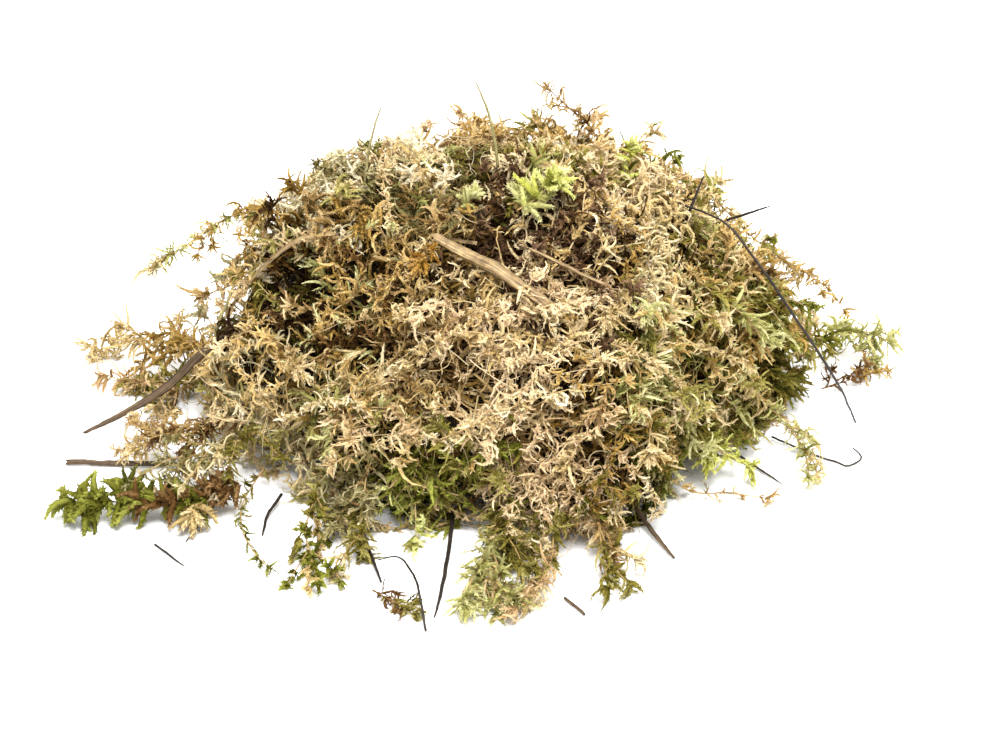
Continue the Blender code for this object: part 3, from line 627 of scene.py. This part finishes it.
def add_tubes(tangle, lines, axes, radii, shades, rows, sides):
    """A stalk along each line, flat if it has two sides. Each point has its radius and shade."""
    count, steps = lines.shape[:2]
    each = steps * sides
    _, across, out = frames(lines, axes)
    turns = 2 * math.pi * np.arange(sides) / sides
    ring = across[:, :, None] * np.cos(turns)[:, None] + out[:, :, None] * np.sin(turns)[:, None]
    points = lines[:, :, None] + ring * radii[:, :, None, None]
    k = np.arange(sides if sides > 2 else 1)
    after = (k + 1) % sides
    beyond = after + sides
    band = np.concatenate([np.stack([k, after, beyond], 1), np.stack([k, beyond, k + sides], 1)])
    faces = band + sides * np.arange(steps - 1)[:, None, None]
    faces = faces + (each * np.arange(count))[:, None, None, None]
    side = np.broadcast_to(np.where(np.arange(sides) % 2, 1.0, -1.0), (count, steps, sides))
    tangle.add(points, faces, np.repeat(shades.ravel(), sides), side, np.repeat(rows, each), True)


def add_leaves(tangle, lines, axes, habit, count, width, shades, rows, rng):
    """Leaves that overlap up each branch, in a spiral. Broad ones are folded along the middle."""
    leaf = FOLDED_LEAF if habit.folded else FLAT_LEAF
    branches, steps = lines.shape[:2]
    place = (np.arange(count) + FIRST_LEAF) / count * (steps - 1) * LAST_LEAF
    low = place.astype(int)
    share = (place - low)[:, None]
    at, along, across, out = [
        given[:, low] * (1 - share) + given[:, low + 1] * share
        for given in (lines, *frames(lines, axes))
    ]
    along = unit(along)
    turn = GOLDEN_TURN * np.arange(count) + rng.uniform(0, ANY_TURN, (branches, 1))
    outward = unit(across * np.cos(turn)[..., None] + out * np.sin(turn)[..., None])
    lean = habit.spread * rng.uniform(*BRANCH_LEANS, (branches, 1))
    lean = lean * rng.uniform(*LEAF_LEANS, (branches, count))
    way = along * np.cos(lean)[..., None] + outward * np.sin(lean)[..., None]
    up_branch = np.arange(count) / count
    size = habit.leaf * (1 - LEAF_SHORTENS * up_branch) * rng.uniform(*LEAF_SIZES, (branches, count))
    size = (size * width[:, None] / habit.width)[..., None]
    half = (width[:, None] * leaf.half * (1 - LEAF_NARROWS * up_branch**2))[..., None]
    side = np.cross(along, outward)
    root = at - along * size * LEAF_TUCK
    tip = root + way * size
    if habit.folded:
        fold = root + way * size * FOLD_AT - outward * half * FOLD_IN
        points = [root + outward * half * FOLD_OUT, fold + side * half, tip, fold - side * half]
    else:
        points = [root + side * half, tip, root - side * half]
    shade = shades[:, None] + rng.normal(0, LEAF_VARIES, (branches, count))
    shade = (shade + leaf.lightens * (up_branch - 0.5))[..., None] + leaf.lighter
    each = len(points)
    first = each * np.arange(branches * count)[:, None]
    faces = np.concatenate([first + corner for corner in leaf.faces])
    sides = np.broadcast_to(leaf.sides, shade.shape)
    tangle.add(np.stack(points, 2), faces, shade, sides, np.repeat(rows, each * count), False)


def add_branches(tangle, base, way, length, habit, leaves, shades, rows, rng):
    """Branches from these points, that set off these ways."""
    count = len(base)
    curl = habit.curl * rng.uniform(*CURLS, count) * rng.choice((-1, 1), count)
    droop = habit.droop * rng.uniform(*DROOPS, count)
    axes = unit(np.cross(way, rng.normal(size=(count, 3))))
    twist = rng.normal(0, TWIST, count)
    lines = [base]
    for _ in range(BRANCH_STEPS):
        lines.append(lines[-1] + way * (length / BRANCH_STEPS)[:, None])
        way = turned(way, axes, curl / BRANCH_STEPS)
        way = unit(way - UP * (droop / BRANCH_STEPS)[:, None])
        axes = turned(axes, way, twist)
    lines = np.stack(lines, 1)
    keep_above(BRANCH_FLOOR, lines)
    width = habit.width * rng.uniform(*WIDTHS, count)
    profile = np.array(FLAT_STALK if habit.sides == 2 else PLUMP_STALK)
    stalk_shades = shades[:, None] - STALK_DARKER + STALK_LIGHTENS * np.linspace(0, 1, BRANCH_STEPS + 1)
    add_tubes(tangle, lines, axes, width[:, None] * profile, stalk_shades, rows, habit.sides)
    add_leaves(tangle, lines, axes, habit, leaves, width, shades, rows, rng)


# ---- Shoots ----
def tip_share(up_shoot):
    """The share of branches that have the tip's palette, this far up a shoot."""
    return np.clip((up_shoot - TIP_STARTS) / TIP_TAKES, 0, 1)


def branch_places(habit, length, all_round, rng):
    """How far up a shoot each branch leaves it, and turned which way round it. The head's come last."""
    tufts = np.arange(habit.spacing / 2, length, habit.spacing)
    tufts = np.clip(tufts + rng.normal(0, habit.spacing / 4, len(tufts)), 0, length)
    least, most = (0, 2 * math.pi) if all_round else (-BACK_MARGIN, math.pi + BACK_MARGIN)
    turns = rng.uniform(least, most, len(tufts))
    place = np.append(np.repeat(tufts, habit.whorl), length - rng.uniform(0, HEAD_DEEP, habit.head))
    around = np.append(np.repeat(turns, habit.whorl), rng.uniform(0, 2 * math.pi, habit.head))
    return place, around + rng.normal(0, TURN_VARIES, len(place))


def branch_rows(up_shoot, palettes, strays, rng):
    """The row of each branch's palette: the root's, the tip's or a stray one."""
    count = len(up_shoot)
    at_tip = rng.uniform(0, 1, count) < tip_share(up_shoot)
    rows = np.where(at_tip, ROWS[palettes[1]], ROWS[palettes[0]])
    if strays:
        odd = rng.uniform(0, 1, count) < ODD_SHARE
        rows = np.where(odd, [ROWS[name] for name in rng.choice(strays, count)], rows)
    return rows


def add_stem(tangle, spine, length, palette, shade, rng):
    """A thin stem along a shoot's line, brown if its root is."""
    stem = spine[None, :: max(1, round(STEM_STEP / (length / len(spine))))]
    radii = np.linspace(*STEM_RADII, stem.shape[1])[None]
    row = np.array([ROWS["brown" if palette == "brown" else "tan"]])
    axis = unit(rng.normal(size=(1, 3)))
    add_tubes(tangle, stem, axis, radii, np.full(radii.shape, shade), row, STEM_SIDES)


def add_shoot(tangle, spine, habit, palettes, shade, fullness, rng, outward=None, strays=()):
    """A stem with tufts of branches and, at its tip, a head.

    palettes are those at the root and at the tip, and strays those of a few odd branches. fullness is
    the share of its leaves that a branch has. Where outward is given, for each point of the spine,
    branches keep off the side that faces away from it.
    """
    travelled = distances_along(spine)
    place, around = branch_places(habit, travelled[-1], outward is None, rng)
    count = len(place)
    at_head = np.arange(count) >= count - habit.head
    base = at_distances(place, travelled, spine)
    forward = unit(at_distances(place, travelled, unit(np.gradient(spine, axis=0))))
    if outward is None:
        outer = rng.normal(size=(count, 3))
    else:
        outer = unit(at_distances(place, travelled, outward))
    side = unit(np.cross(forward, outer))
    across = side * np.cos(around)[:, None] + np.cross(side, forward) * np.sin(around)[:, None]
    head_angle = rng.uniform(*HEAD_ANGLES, count)
    angle = np.where(at_head, head_angle, rng.normal(habit.angle, ANGLE_VARIES, count))
    way = unit(forward * np.cos(angle)[:, None] + across * np.sin(angle)[:, None])
    length = habit.length * rng.uniform(*LENGTHS, count)
    length[rng.uniform(0, 1, count) < LONG_SHARE] *= LONGER
    length[at_head] *= HEAD_SHORTER
    rows = branch_rows(place / travelled[-1], palettes, strays, rng)
    shades = shade + rng.normal(0, BRANCH_VARIES, count) + HEAD_LIGHTER * at_head
    leaves = max(FEWEST_LEAVES, round(habit.leaves * fullness))
    add_branches(tangle, base, way, length, habit, leaves, shades, rows, rng)
    add_stem(tangle, spine, travelled[-1], palettes[0], shade, rng)


def sprig_line(start, heading, length, sag, waver, rng):
    """The line of a short shoot that sags more and more, but stays off the floor."""
    step = length / SPRIG_STEPS
    line = [start]
    for _ in range(SPRIG_STEPS):
        line.append(line[-1] + heading * step)
        heading = unit(heading - UP * rng.uniform(0, sag) + rng.normal(0, waver, 3))
    line = np.array(line)
    keep_above(SPRIG_FLOOR, line)
    return line


# ---- The mound's moss ----
def side_of(point):
    """Which piece of the mound's moss a point belongs to."""
    way = unit(point - HEART)
    if way[2] > TOP:
        return "top_front" if way[1] < 0 else "top_back"
    turn = math.degrees(math.atan2(way[1], way[0])) % 360
    sector = 360 / len(SIDES)
    return SIDES[int((turn + sector / 2) % 360 // sector)]


def zones_at(points, rng):
    """For each point, the habit, palettes, tone and painted light of a zone that reaches it, the nearer the
    likelier.
    """
    centres, reaches, habits, palettes, tones_and_painted_light = zip(*ZONES.values())
    apart = np.linalg.norm(points[:, None] - centres, axis=2)
    shares = (np.exp(-((apart / reaches) ** 2)) + NEARLY_NONE).cumsum(axis=1)
    found = (shares < rng.uniform(0, 1, (len(points), 1)) * shares[:, -1:]).sum(axis=1)
    return [(habits[k], palettes[k].split(), tones_and_painted_light[k]) for k in found]


def zone_at(point, rng):
    return zones_at(point[None], rng)[0]


def starts(count, stream):
    """Points spread evenly over the mound, from just under level to the top, each with its own draws."""
    for k in range(count):
        rng = draws(stream, k)
        rise = SHOOT_STARTS * ((k + 0.5) / count) + LOWEST_START
        turn = rng.uniform(0, 2 * math.pi)
        flat = math.sqrt(max(0, 1 - rise * rise))
        yield HEART + START_REACH * np.array((flat * math.cos(turn), flat * math.sin(turn), rise)), rng


def walks(stream, count, depths, lengths):
    """Lines of shoots that wander over the mound, each with its own draws."""
    for start, rng in starts(count, stream):
        yield walk(start, depths, lengths, rng), rng


def walk(start, depths, lengths, rng):
    length = rng.uniform(*lengths)
    depth = rng.uniform(*depths)
    at = skin.laid(start[None], depth)[0]
    heading = unit(np.cross(unit(at - HEART), rng.normal(size=3)))
    line = [at]
    for _ in range(round(length / WALK_STEP)):
        outward = unit(at - HEART)
        heading = turned(heading[None], outward[None], rng.normal(0, WANDER, 1))[0]
        heading = unit(heading - outward * (heading @ outward) - UP * WALK_SAG)
        depth = np.clip(depth + rng.normal(0, DEPTH_WANDER), *depths)
        at = skin.laid((at + heading * WALK_STEP)[None], depth)[0]
        line.append(at)
    return np.array(line)


def grow(tangles, spine, habit, palettes, shade, fullness, rng):
    """A shoot of the mound, in the tangle for its side and in colours drawn from these palettes."""
    tangle = tangles[side_of(middle(spine))]
    ends = rng.choice(palettes, 2)
    add_shoot(tangle, spine, HABITS[habit], ends, shade, fullness, rng, unit(spine - HEART), palettes)


def middle(spine):
    return spine[len(spine) // 2]


def grow_layers(tangles):
    """The shoots that make up most of the mound, in three layers."""
    for number, (*wanders, fullness, darker) in enumerate(LAYERS.values()):
        for spine, rng in walks(number, *wanders):
            habit, palettes, tone_and_painted_light = zone_at(middle(spine), rng)
            # Painted light and shade: the zone's tone and painted light, and the deeper layers' painted
            # shade
            shade = MOUND_SHADE + tone_and_painted_light - darker + rng.normal(0, MOUND_VARIES)
            grow(tangles, spine, habit, palettes, shade, fullness, rng)


def grow_over(tangles):
    """Bare stems, fronds and long strands, which lie across the other shoots."""
    for spine, rng in walks(STREAMS["bare"], *BARE_STEMS):
        grow(tangles, spine, "bare", ("cream", "tan", "sage"), BARE_SHADE, 1.0, rng)
    for spine, rng in walks(STREAMS["fronds"], *FRONDS):
        _, palettes, tone_and_painted_light = zone_at(middle(spine), rng)
        grow(tangles, spine, "frond", palettes, FROND_SHADE + tone_and_painted_light, 1.0, rng)
    for number, (habit, palettes, *points) in enumerate(LONG_STRANDS):
        spine = skin.laid(smooth_line(points), LONG_STRAND_DEPTH)
        shade = TONGUE_SHADE if habit == "tongue" else FROND_SHADE
        grow(tangles, spine, habit, palettes.split(), shade, 1.0, draws(STREAMS["long"], number))


def grow_sprigs(tangles):
    """Short shoots that lean out of the mound and sag at their ends."""
    count, depths, lengths, leans, sag, waver = SPRIGS
    for start, rng in starts(count, STREAMS["sprigs"]):
        at = skin.laid(start[None], rng.uniform(*depths))[0]
        outward = unit(at - HEART)
        sideways = unit(np.cross(outward, rng.normal(size=3)))
        lean = rng.uniform(*leans)
        heading = outward * math.cos(lean) + sideways * math.sin(lean)
        spine = sprig_line(at, heading, rng.uniform(*lengths), sag, waver, rng)
        habit, palettes, tone_and_painted_light = zone_at(spine[0], rng)
        habit = "plain" if HABITS[habit].folded else habit
        grow(tangles, spine, habit, palettes, SPRIG_SHADE + tone_and_painted_light, 1.0, rng)


def strand_lines(count, depths, lengths, out, curl, rng):
    """Lines of loose strands, and the axes that they curl about. With out 0, they follow the skin."""
    ways = unit(rng.normal(size=(count, 3)) * STRAND_CROWDING)
    ways[:, 2] = abs(ways[:, 2]) * STRAND_STARTS + LOWEST_START
    depth = rng.uniform(*depths, count)
    at = skin.laid(HEART + ways * START_REACH, depth)
    headings = unit(np.cross(ways, rng.normal(size=(count, 3))))
    headings = unit(headings + ways * rng.uniform(*OUT_VARIES, (count, 1)) * out)
    axes = unit(np.cross(headings, rng.normal(size=(count, 3))))
    bend = rng.normal(0, curl, count) / STRAND_STEPS
    step = (rng.uniform(*lengths, count) / STRAND_STEPS)[:, None]
    lines = [at]
    for _ in range(STRAND_STEPS):
        at = at + headings * step
        if out == 0:
            at = skin.laid(at, depth)
        lines.append(at)
        headings = unit(turned(headings, axes, bend) - UP * STRAND_SAG)
        axes = turned(axes, headings, rng.normal(0, STRAND_TWIST, count))
    lines = np.stack(lines, 1)
    keep_above(STRAND_FLOOR, lines)
    return lines, axes


def grow_loose_strands(tangles):
    """Litter that follows the mound, kept dark as painted shade in the gaps, and threads that stand out of
    it.
    """
    for number, strands in enumerate(LOOSE_STRANDS.values()):
        count, depths, lengths, halves, shade, out, curl, sides = strands
        rng = draws(STREAMS["loose"], number)
        lines, axes = strand_lines(count, depths, lengths, out, curl, rng)
        radii = rng.uniform(*halves, (count, 1)) * np.linspace(1, 0.5, STRAND_STEPS + 1)
        shades = np.repeat(rng.normal(shade, STRAND_VARIES, (count, 1)), STRAND_STEPS + 1, axis=1)
        zones = zones_at(lines[:, 0], rng)
        rows = np.array([ROWS[rng.choice(palettes)] for _, palettes, _ in zones])
        shades = shades + np.array([tone_and_painted_light for _, _, tone_and_painted_light in zones])[:, None]
        places = np.array([side_of(point) for point in lines[:, 0]])
        for side in np.unique(places):
            held = [given[places == side] for given in (lines, axes, radii, shades, rows)]
            add_tubes(tangles[str(side)], *held, sides)


def build_mound():
    """The moss of the mound itself, in a piece for each side of it."""
    tangles = defaultdict(Tangle)
    grow_layers(tangles)
    grow_over(tangles)
    grow_sprigs(tangles)
    grow_loose_strands(tangles)
    for side, tangle in tangles.items():
        tangle.made("moss_" + side, "moss_mixed", "moss_mound", paint_depth_shade=True)


# ---- Shoots that can be told apart ----
def side_shoot(spine, lengths, turns, rng):
    """How far up this shoot a side shoot leaves it, and the side shoot's line."""
    share = rng.uniform(*SIDE_STARTS)
    place = int(share * (len(spine) - 1))
    ahead = unit(spine[place + 1] - spine[place])
    turn = rng.uniform(*turns, 1)
    heading = unit(turned(ahead[None], UP[None], turn)[0] + UP * rng.uniform(*SIDE_RISES))
    return share, sprig_line(spine[place], heading, rng.uniform(*lengths), SIDE_SAG, SIDE_WAVER, rng)


def lay(name, spine):
    """The shoot's line laid on the mound, rising towards its tip, and its ways out of the mound."""
    depth, rise = LOW_HEADS.get(name, (HEAD_DEPTH, HEAD_RISE))
    spine = unpitted.laid(spine, depth)
    outward = unit(spine - HEART)
    return spine + outward * rise * np.linspace(0, 1, len(spine))[:, None] ** 2, outward


def build_shoots():
    """The shoots that can be told apart, each in place of its own solid."""
    for number, (name, (kinds, side_shoots, *points)) in enumerate((LAID_SHOOTS | TRAILING_SHOOTS).items()):
        habit, root, tip = kinds.split()
        rng = draws(SHOOT_STREAMS + number)
        laid = name in LAID_SHOOTS
        spine, outward = smooth_line(points), None
        if laid:
            spine, outward = lay(name, spine)
        tangle = Tangle()
        add_shoot(tangle, spine, HABITS[habit], (root, tip), SHOOT_SHADE, 1.0, rng, outward)
        count, *reach = side_shoots or (0,)
        for _ in range(count):
            share, line = side_shoot(spine, *reach, rng)
            near = tip if rng.uniform() < tip_share(share) else root
            far = rng.choice((near, near, "bleached" if number % 2 else "cream"))
            if laid:
                line = unpitted.laid(line, rng.uniform(HEAD_DEPTH, 0))
            shade = SIDE_SHOOT_SHADE + rng.normal(0, SIDE_SHOOT_VARIES)
            add_shoot(tangle, line, HABITS[habit], (near, far), shade, 1.0, rng)
        tangle.made(name + "_moss", PALETTES[tip][0], name)


# ---- Straws, twigs and needles ----
def stalk_points(spine, facing, sizes, ribs, rib_depth, rng):
    """Rings of points round this line: uneven, ribbed lengthwise and torn at both ends."""
    width, thickness, at_root, at_tip = sizes
    rings = len(spine)
    waver = np.cumsum(rng.normal(0, STALK_WAVER, (rings, 3)), axis=0)
    spine = spine + waver - np.linspace(0, 1, rings)[:, None] * waver[-1]
    place = np.linspace(-1, 1, rings)
    share = 1 - (1 - np.where(place < 0, at_root, at_tip)) * place**2
    share = share * (1 + rng.normal(0, STALK_UNEVEN, rings))
    ahead = unit(np.gradient(spine, axis=0))
    across = unit(np.cross(facing, ahead))
    up = np.cross(ahead, across)
    turns = 2 * math.pi * np.arange(STALK_SIDES) / STALK_SIDES
    phase = np.linspace(0, rng.uniform(-RIB_TWIST, RIB_TWIST), rings)[:, None]
    rib = 1 + rib_depth * (np.cos(ribs * turns + phase) - 1) / 2
    half = share[:, None] * (rib + rng.normal(0, RIB_UNEVEN, rib.shape)) / 2
    points = spine[:, None] + (
        across[:, None] * (width * half * np.cos(turns))[..., None]
        + up[:, None] * (thickness * half * np.sin(turns))[..., None]
    )
    torn = rng.uniform(-TORN, TORN, (2, STALK_SIDES, 1)) * width
    points[0] -= ahead[0] * torn[0]
    points[-1] += ahead[-1] * torn[1]
    keep_above(FLOOR, points)
    return points


def stalk_mesh(name, points):
    """A closed rod through these rings of points. Its UV map runs round it and along it."""
    rings = len(points)
    faces = ring_faces(rings, STALK_SIDES)
    mesh = new_mesh(name, points.reshape(-1, 3), faces)
    mesh.polygons.foreach_set("use_smooth", [True] * (len(faces) - 2) + [False] * 2)
    k = np.arange(STALK_SIDES)
    around = np.stack([k, k + 1, k + 1, k], 1) / STALK_SIDES
    along = np.linspace(0, 1, rings)[:, None, None]
    up = np.concatenate([along[:-1], along[:-1], along[1:], along[1:]], 2)
    u = np.broadcast_to(around, (rings - 1, *around.shape)).ravel()
    v = np.broadcast_to(up, (rings - 1, *around.shape)).ravel()
    u = np.concatenate([u, k[::-1] / STALK_SIDES, k / STALK_SIDES])
    v = np.concatenate([v, 0.0 * k, 1.0 + 0.0 * k])
    mesh.uv_layers.new(name="OFBake").uv.foreach_set("vector", np.stack([u, v], 1).ravel())
    return mesh


def build_stalks():
    """Each straw, twig and needle, in place of its own solid."""
    materials = {sort: stalk_material(sort) for sort in STALK_SORTS}
    for number, (name, (sort, sizes, *points)) in enumerate((LAID_STALKS | FREE_STALKS).items()):
        slot, ribs, rib_depth, _ = STALK_SORTS[sort]
        spine, facing = smooth_line(points), STALK_FACING
        if name in LAID_STALKS:
            spine = unpitted.laid(spine, -STALK_LIFT)
            facing = unit(spine - HEART)
        points = stalk_points(spine, facing, sizes, ribs, rib_depth, draws(STALK_STREAMS + number))
        mesh = stalk_mesh(name + "_stalk", points)
        mesh.materials.append(materials[sort])
        add_piece(name + "_stalk", mesh, slot, name)


# ---- The inside: a sheet of painted shade ----
CORE_DEPTH, CORE_UNEVEN = 12, 1.5
CORE_RISES = np.radians(np.linspace(-8, 88, 26))
CORE_TURNS = np.radians(np.arange(0, 360, 6))


def build_core():
    """A near-black sheet of painted shade inside the heap, seen only between the shoots."""
    rng = draws(STREAMS["core"])
    ways = ways_at(*np.meshgrid(CORE_RISES, CORE_TURNS, indexing="ij")).reshape(-1, 3)
    depth = CORE_DEPTH + rng.uniform(-CORE_UNEVEN, CORE_UNEVEN, len(ways))
    points = HEART + ways * (skin.along(ways) - depth)[:, None]
    keep_above(CORE_FLOOR, points)
    mesh = new_mesh("moss_painted_shade", points, ring_faces(len(CORE_RISES), len(CORE_TURNS)))
    mesh.materials.append(inside_material())
    add_piece("moss_painted_shade", mesh, "moss_mixed", "moss_mound")


# ---- Materials ----
def new_material(name, roughness, specular=0.5):
    made = bpy.data.materials.new(name)
    made.use_nodes = True
    shader = made.node_tree.nodes["Principled BSDF"]
    shader.inputs["Roughness"].default_value = roughness
    shader.inputs["Specular IOR Level"].default_value = specular
    return made, made.node_tree, shader


def linked(tree, kind, **inputs):
    """A new node whose inputs are set to a value, or joined where an output is given."""
    node = tree.nodes.new(kind)
    for name, value in inputs.items():
        socket = node.inputs[name.replace("_", " ")]
        if isinstance(value, bpy.types.NodeSocket):
            tree.links.new(value, socket)
        else:
            socket.default_value = value
    return node


def uv_place(tree):
    place = tree.nodes.new("ShaderNodeUVMap")
    place.uv_map = "OFBake"
    return place.outputs["UV"]


def object_noise(tree, size, detail):
    """Noise with spots of this size."""
    coords = tree.nodes.new("ShaderNodeTexCoord").outputs["Object"]
    noise = linked(tree, "ShaderNodeTexNoise", Vector=coords, Scale=1 / (size * MM), Detail=detail)
    return noise.outputs["Fac"]


def shade_ramp(tree, factor, colours, darkest=0.0, lightest=1.0):
    """A colour ramp from dark to light, between these values of the factor."""
    ramp = linked(tree, "ShaderNodeValToRGB", Fac=factor)
    elements = ramp.color_ramp.elements
    dark, middle, light = [linear(c) for c in colours]
    elements[0].color, elements[1].color = dark, light
    elements[0].position, elements[1].position = darkest, lightest
    elements.new((darkest + lightest) / 2).color = middle
    return ramp.outputs["Color"]


def mottled(tree, colour, size, amount):
    """The colour, lighter and darker by turns in spots of this size, and the noise that it follows."""
    noise = object_noise(tree, size, 2.0)
    spread = {"From_Min": 0.3, "From_Max": 0.7, "To_Min": 1 - amount, "To_Max": 1 + amount}
    span = linked(tree, "ShaderNodeMapRange", Value=noise, **spread)
    scaled = linked(tree, "ShaderNodeVectorMath", Vector=colour)
    scaled.operation = "SCALE"
    tree.links.new(span.outputs["Result"], scaled.inputs["Scale"])
    return scaled.outputs["Vector"], noise


def add_bump(tree, shader, height, strength, depth):
    bump = linked(tree, "ShaderNodeBump", Height=height, Strength=strength, Distance=depth * MM)
    tree.links.new(bump.outputs["Normal"], shader.inputs["Normal"])


def moss_material(name):
    """Dry leaves of one palette: matt, mottled cell by cell, and letting some light through."""
    made, tree, shader = new_material("moss_" + name, roughness=0.78, specular=0.1)
    split = linked(tree, "ShaderNodeSeparateXYZ", Vector=uv_place(tree))
    shades = shade_ramp(tree, split.outputs["X"], PALETTES[name][1:])
    colour, grain = mottled(tree, shades, size=0.5, amount=0.16)
    tree.links.new(colour, shader.inputs["Base Color"])
    add_bump(tree, shader, grain, strength=0.35, depth=0.1)
    through = linked(tree, "ShaderNodeBsdfTranslucent", Color=colour)
    mix = linked(tree, "ShaderNodeMixShader", Fac=0.3)
    tree.links.new(shader.outputs["BSDF"], mix.inputs[1])
    tree.links.new(through.outputs["BSDF"], mix.inputs[2])
    tree.links.new(mix.outputs["Shader"], tree.nodes["Material Output"].inputs["Surface"])
    return made


def stalk_material(sort):
    """A dry stalk: fine streaks along it, and darker blotches."""
    made, tree, shader = new_material(sort, roughness=0.6, specular=0.35)
    stretched = linked(tree, "ShaderNodeVectorMath", Vector=uv_place(tree))
    stretched.operation = "MULTIPLY"
    stretched.inputs[1].default_value = STREAKS
    place = stretched.outputs["Vector"]
    streaks = linked(tree, "ShaderNodeTexNoise", Vector=place, Scale=1.0, Detail=3.0).outputs["Fac"]
    shades = shade_ramp(tree, streaks, STALK_SORTS[sort][3], 0.25, 0.75)
    colour, _ = mottled(tree, shades, size=1.6, amount=0.3)
    tree.links.new(colour, shader.inputs["Base Color"])
    add_bump(tree, shader, streaks, strength=0.5, depth=0.15)
    return made


def inside_material():
    """Painted shade: near-black browns for the shaded depths of the heap."""
    made, tree, shader = new_material("moss_painted_shade", roughness=0.95)
    noise = object_noise(tree, size=2, detail=4.0)
    tree.links.new(shade_ramp(tree, noise, INSIDE_SHADE_COLOURS), shader.inputs["Base Color"])
    return made


MOSS = [moss_material(name) for name in PALETTES]


# ---- Studio ----
FLOOR_REACH = 2500  # from its middle to its edges
WHITE = (0.92, 0.92, 0.92, 1)
SKY_STRENGTH = 0.93
SOFTBOXES = {  # place in metres, width, watts
    "key_light": ((0.05, -0.5, 1.1), 0.5, 30),
    "back_light": ((0.4, 0.7, 0.9), 0.8, 10),
}
CAMERA_PLACE = (-1.4, -678.4, 435.7)
CAMERA_TILT = 58  # degrees up from straight down
CAMERA_LENS = 102.857


def build_floor():
    corners = FLOOR_REACH * np.array([(-1, -1, 0), (1, -1, 0), (1, 1, 0), (-1, 1, 0)])
    mesh = new_mesh("floor", corners, [(0, 1, 2, 3)])
    floor = add_to_scene("floor", mesh)
    made, _, shader = new_material("floor_white", roughness=0.9, specular=0.1)
    shader.inputs["Base Color"].default_value = WHITE
    mesh.materials.append(made)


def build_lights():
    """An even white sky and two softboxes."""
    world = bpy.data.worlds.new("studio")
    world.use_nodes = True
    sky = world.node_tree.nodes["Background"]
    sky.inputs["Color"].default_value = (1, 1, 1, 1)
    sky.inputs["Strength"].default_value = SKY_STRENGTH
    bpy.context.scene.world = world
    for name, (place, width, power) in SOFTBOXES.items():
        data = bpy.data.lights.new(name, "AREA")
        data.energy, data.size = power, width
        light = add_to_scene(name, data)
        light.location = place
        light.rotation_euler = (-Vector(place)).to_track_quat("-Z", "Y").to_euler()


def build_camera():
    """The photograph's view."""
    data = bpy.data.cameras.new("camera")
    data.lens = CAMERA_LENS
    data.clip_start, data.clip_end = 0.01, 10
    camera = add_to_scene("camera", data)
    camera.location = Vector(CAMERA_PLACE) * MM
    camera.rotation_euler = (math.radians(CAMERA_TILT), 0, 0)
    bpy.context.scene.camera = camera
    bpy.context.scene.view_settings.view_transform = "Standard"


build_floor()
build_lights()
build_camera()
build_core()
build_mound()
build_shoots()
build_stalks()
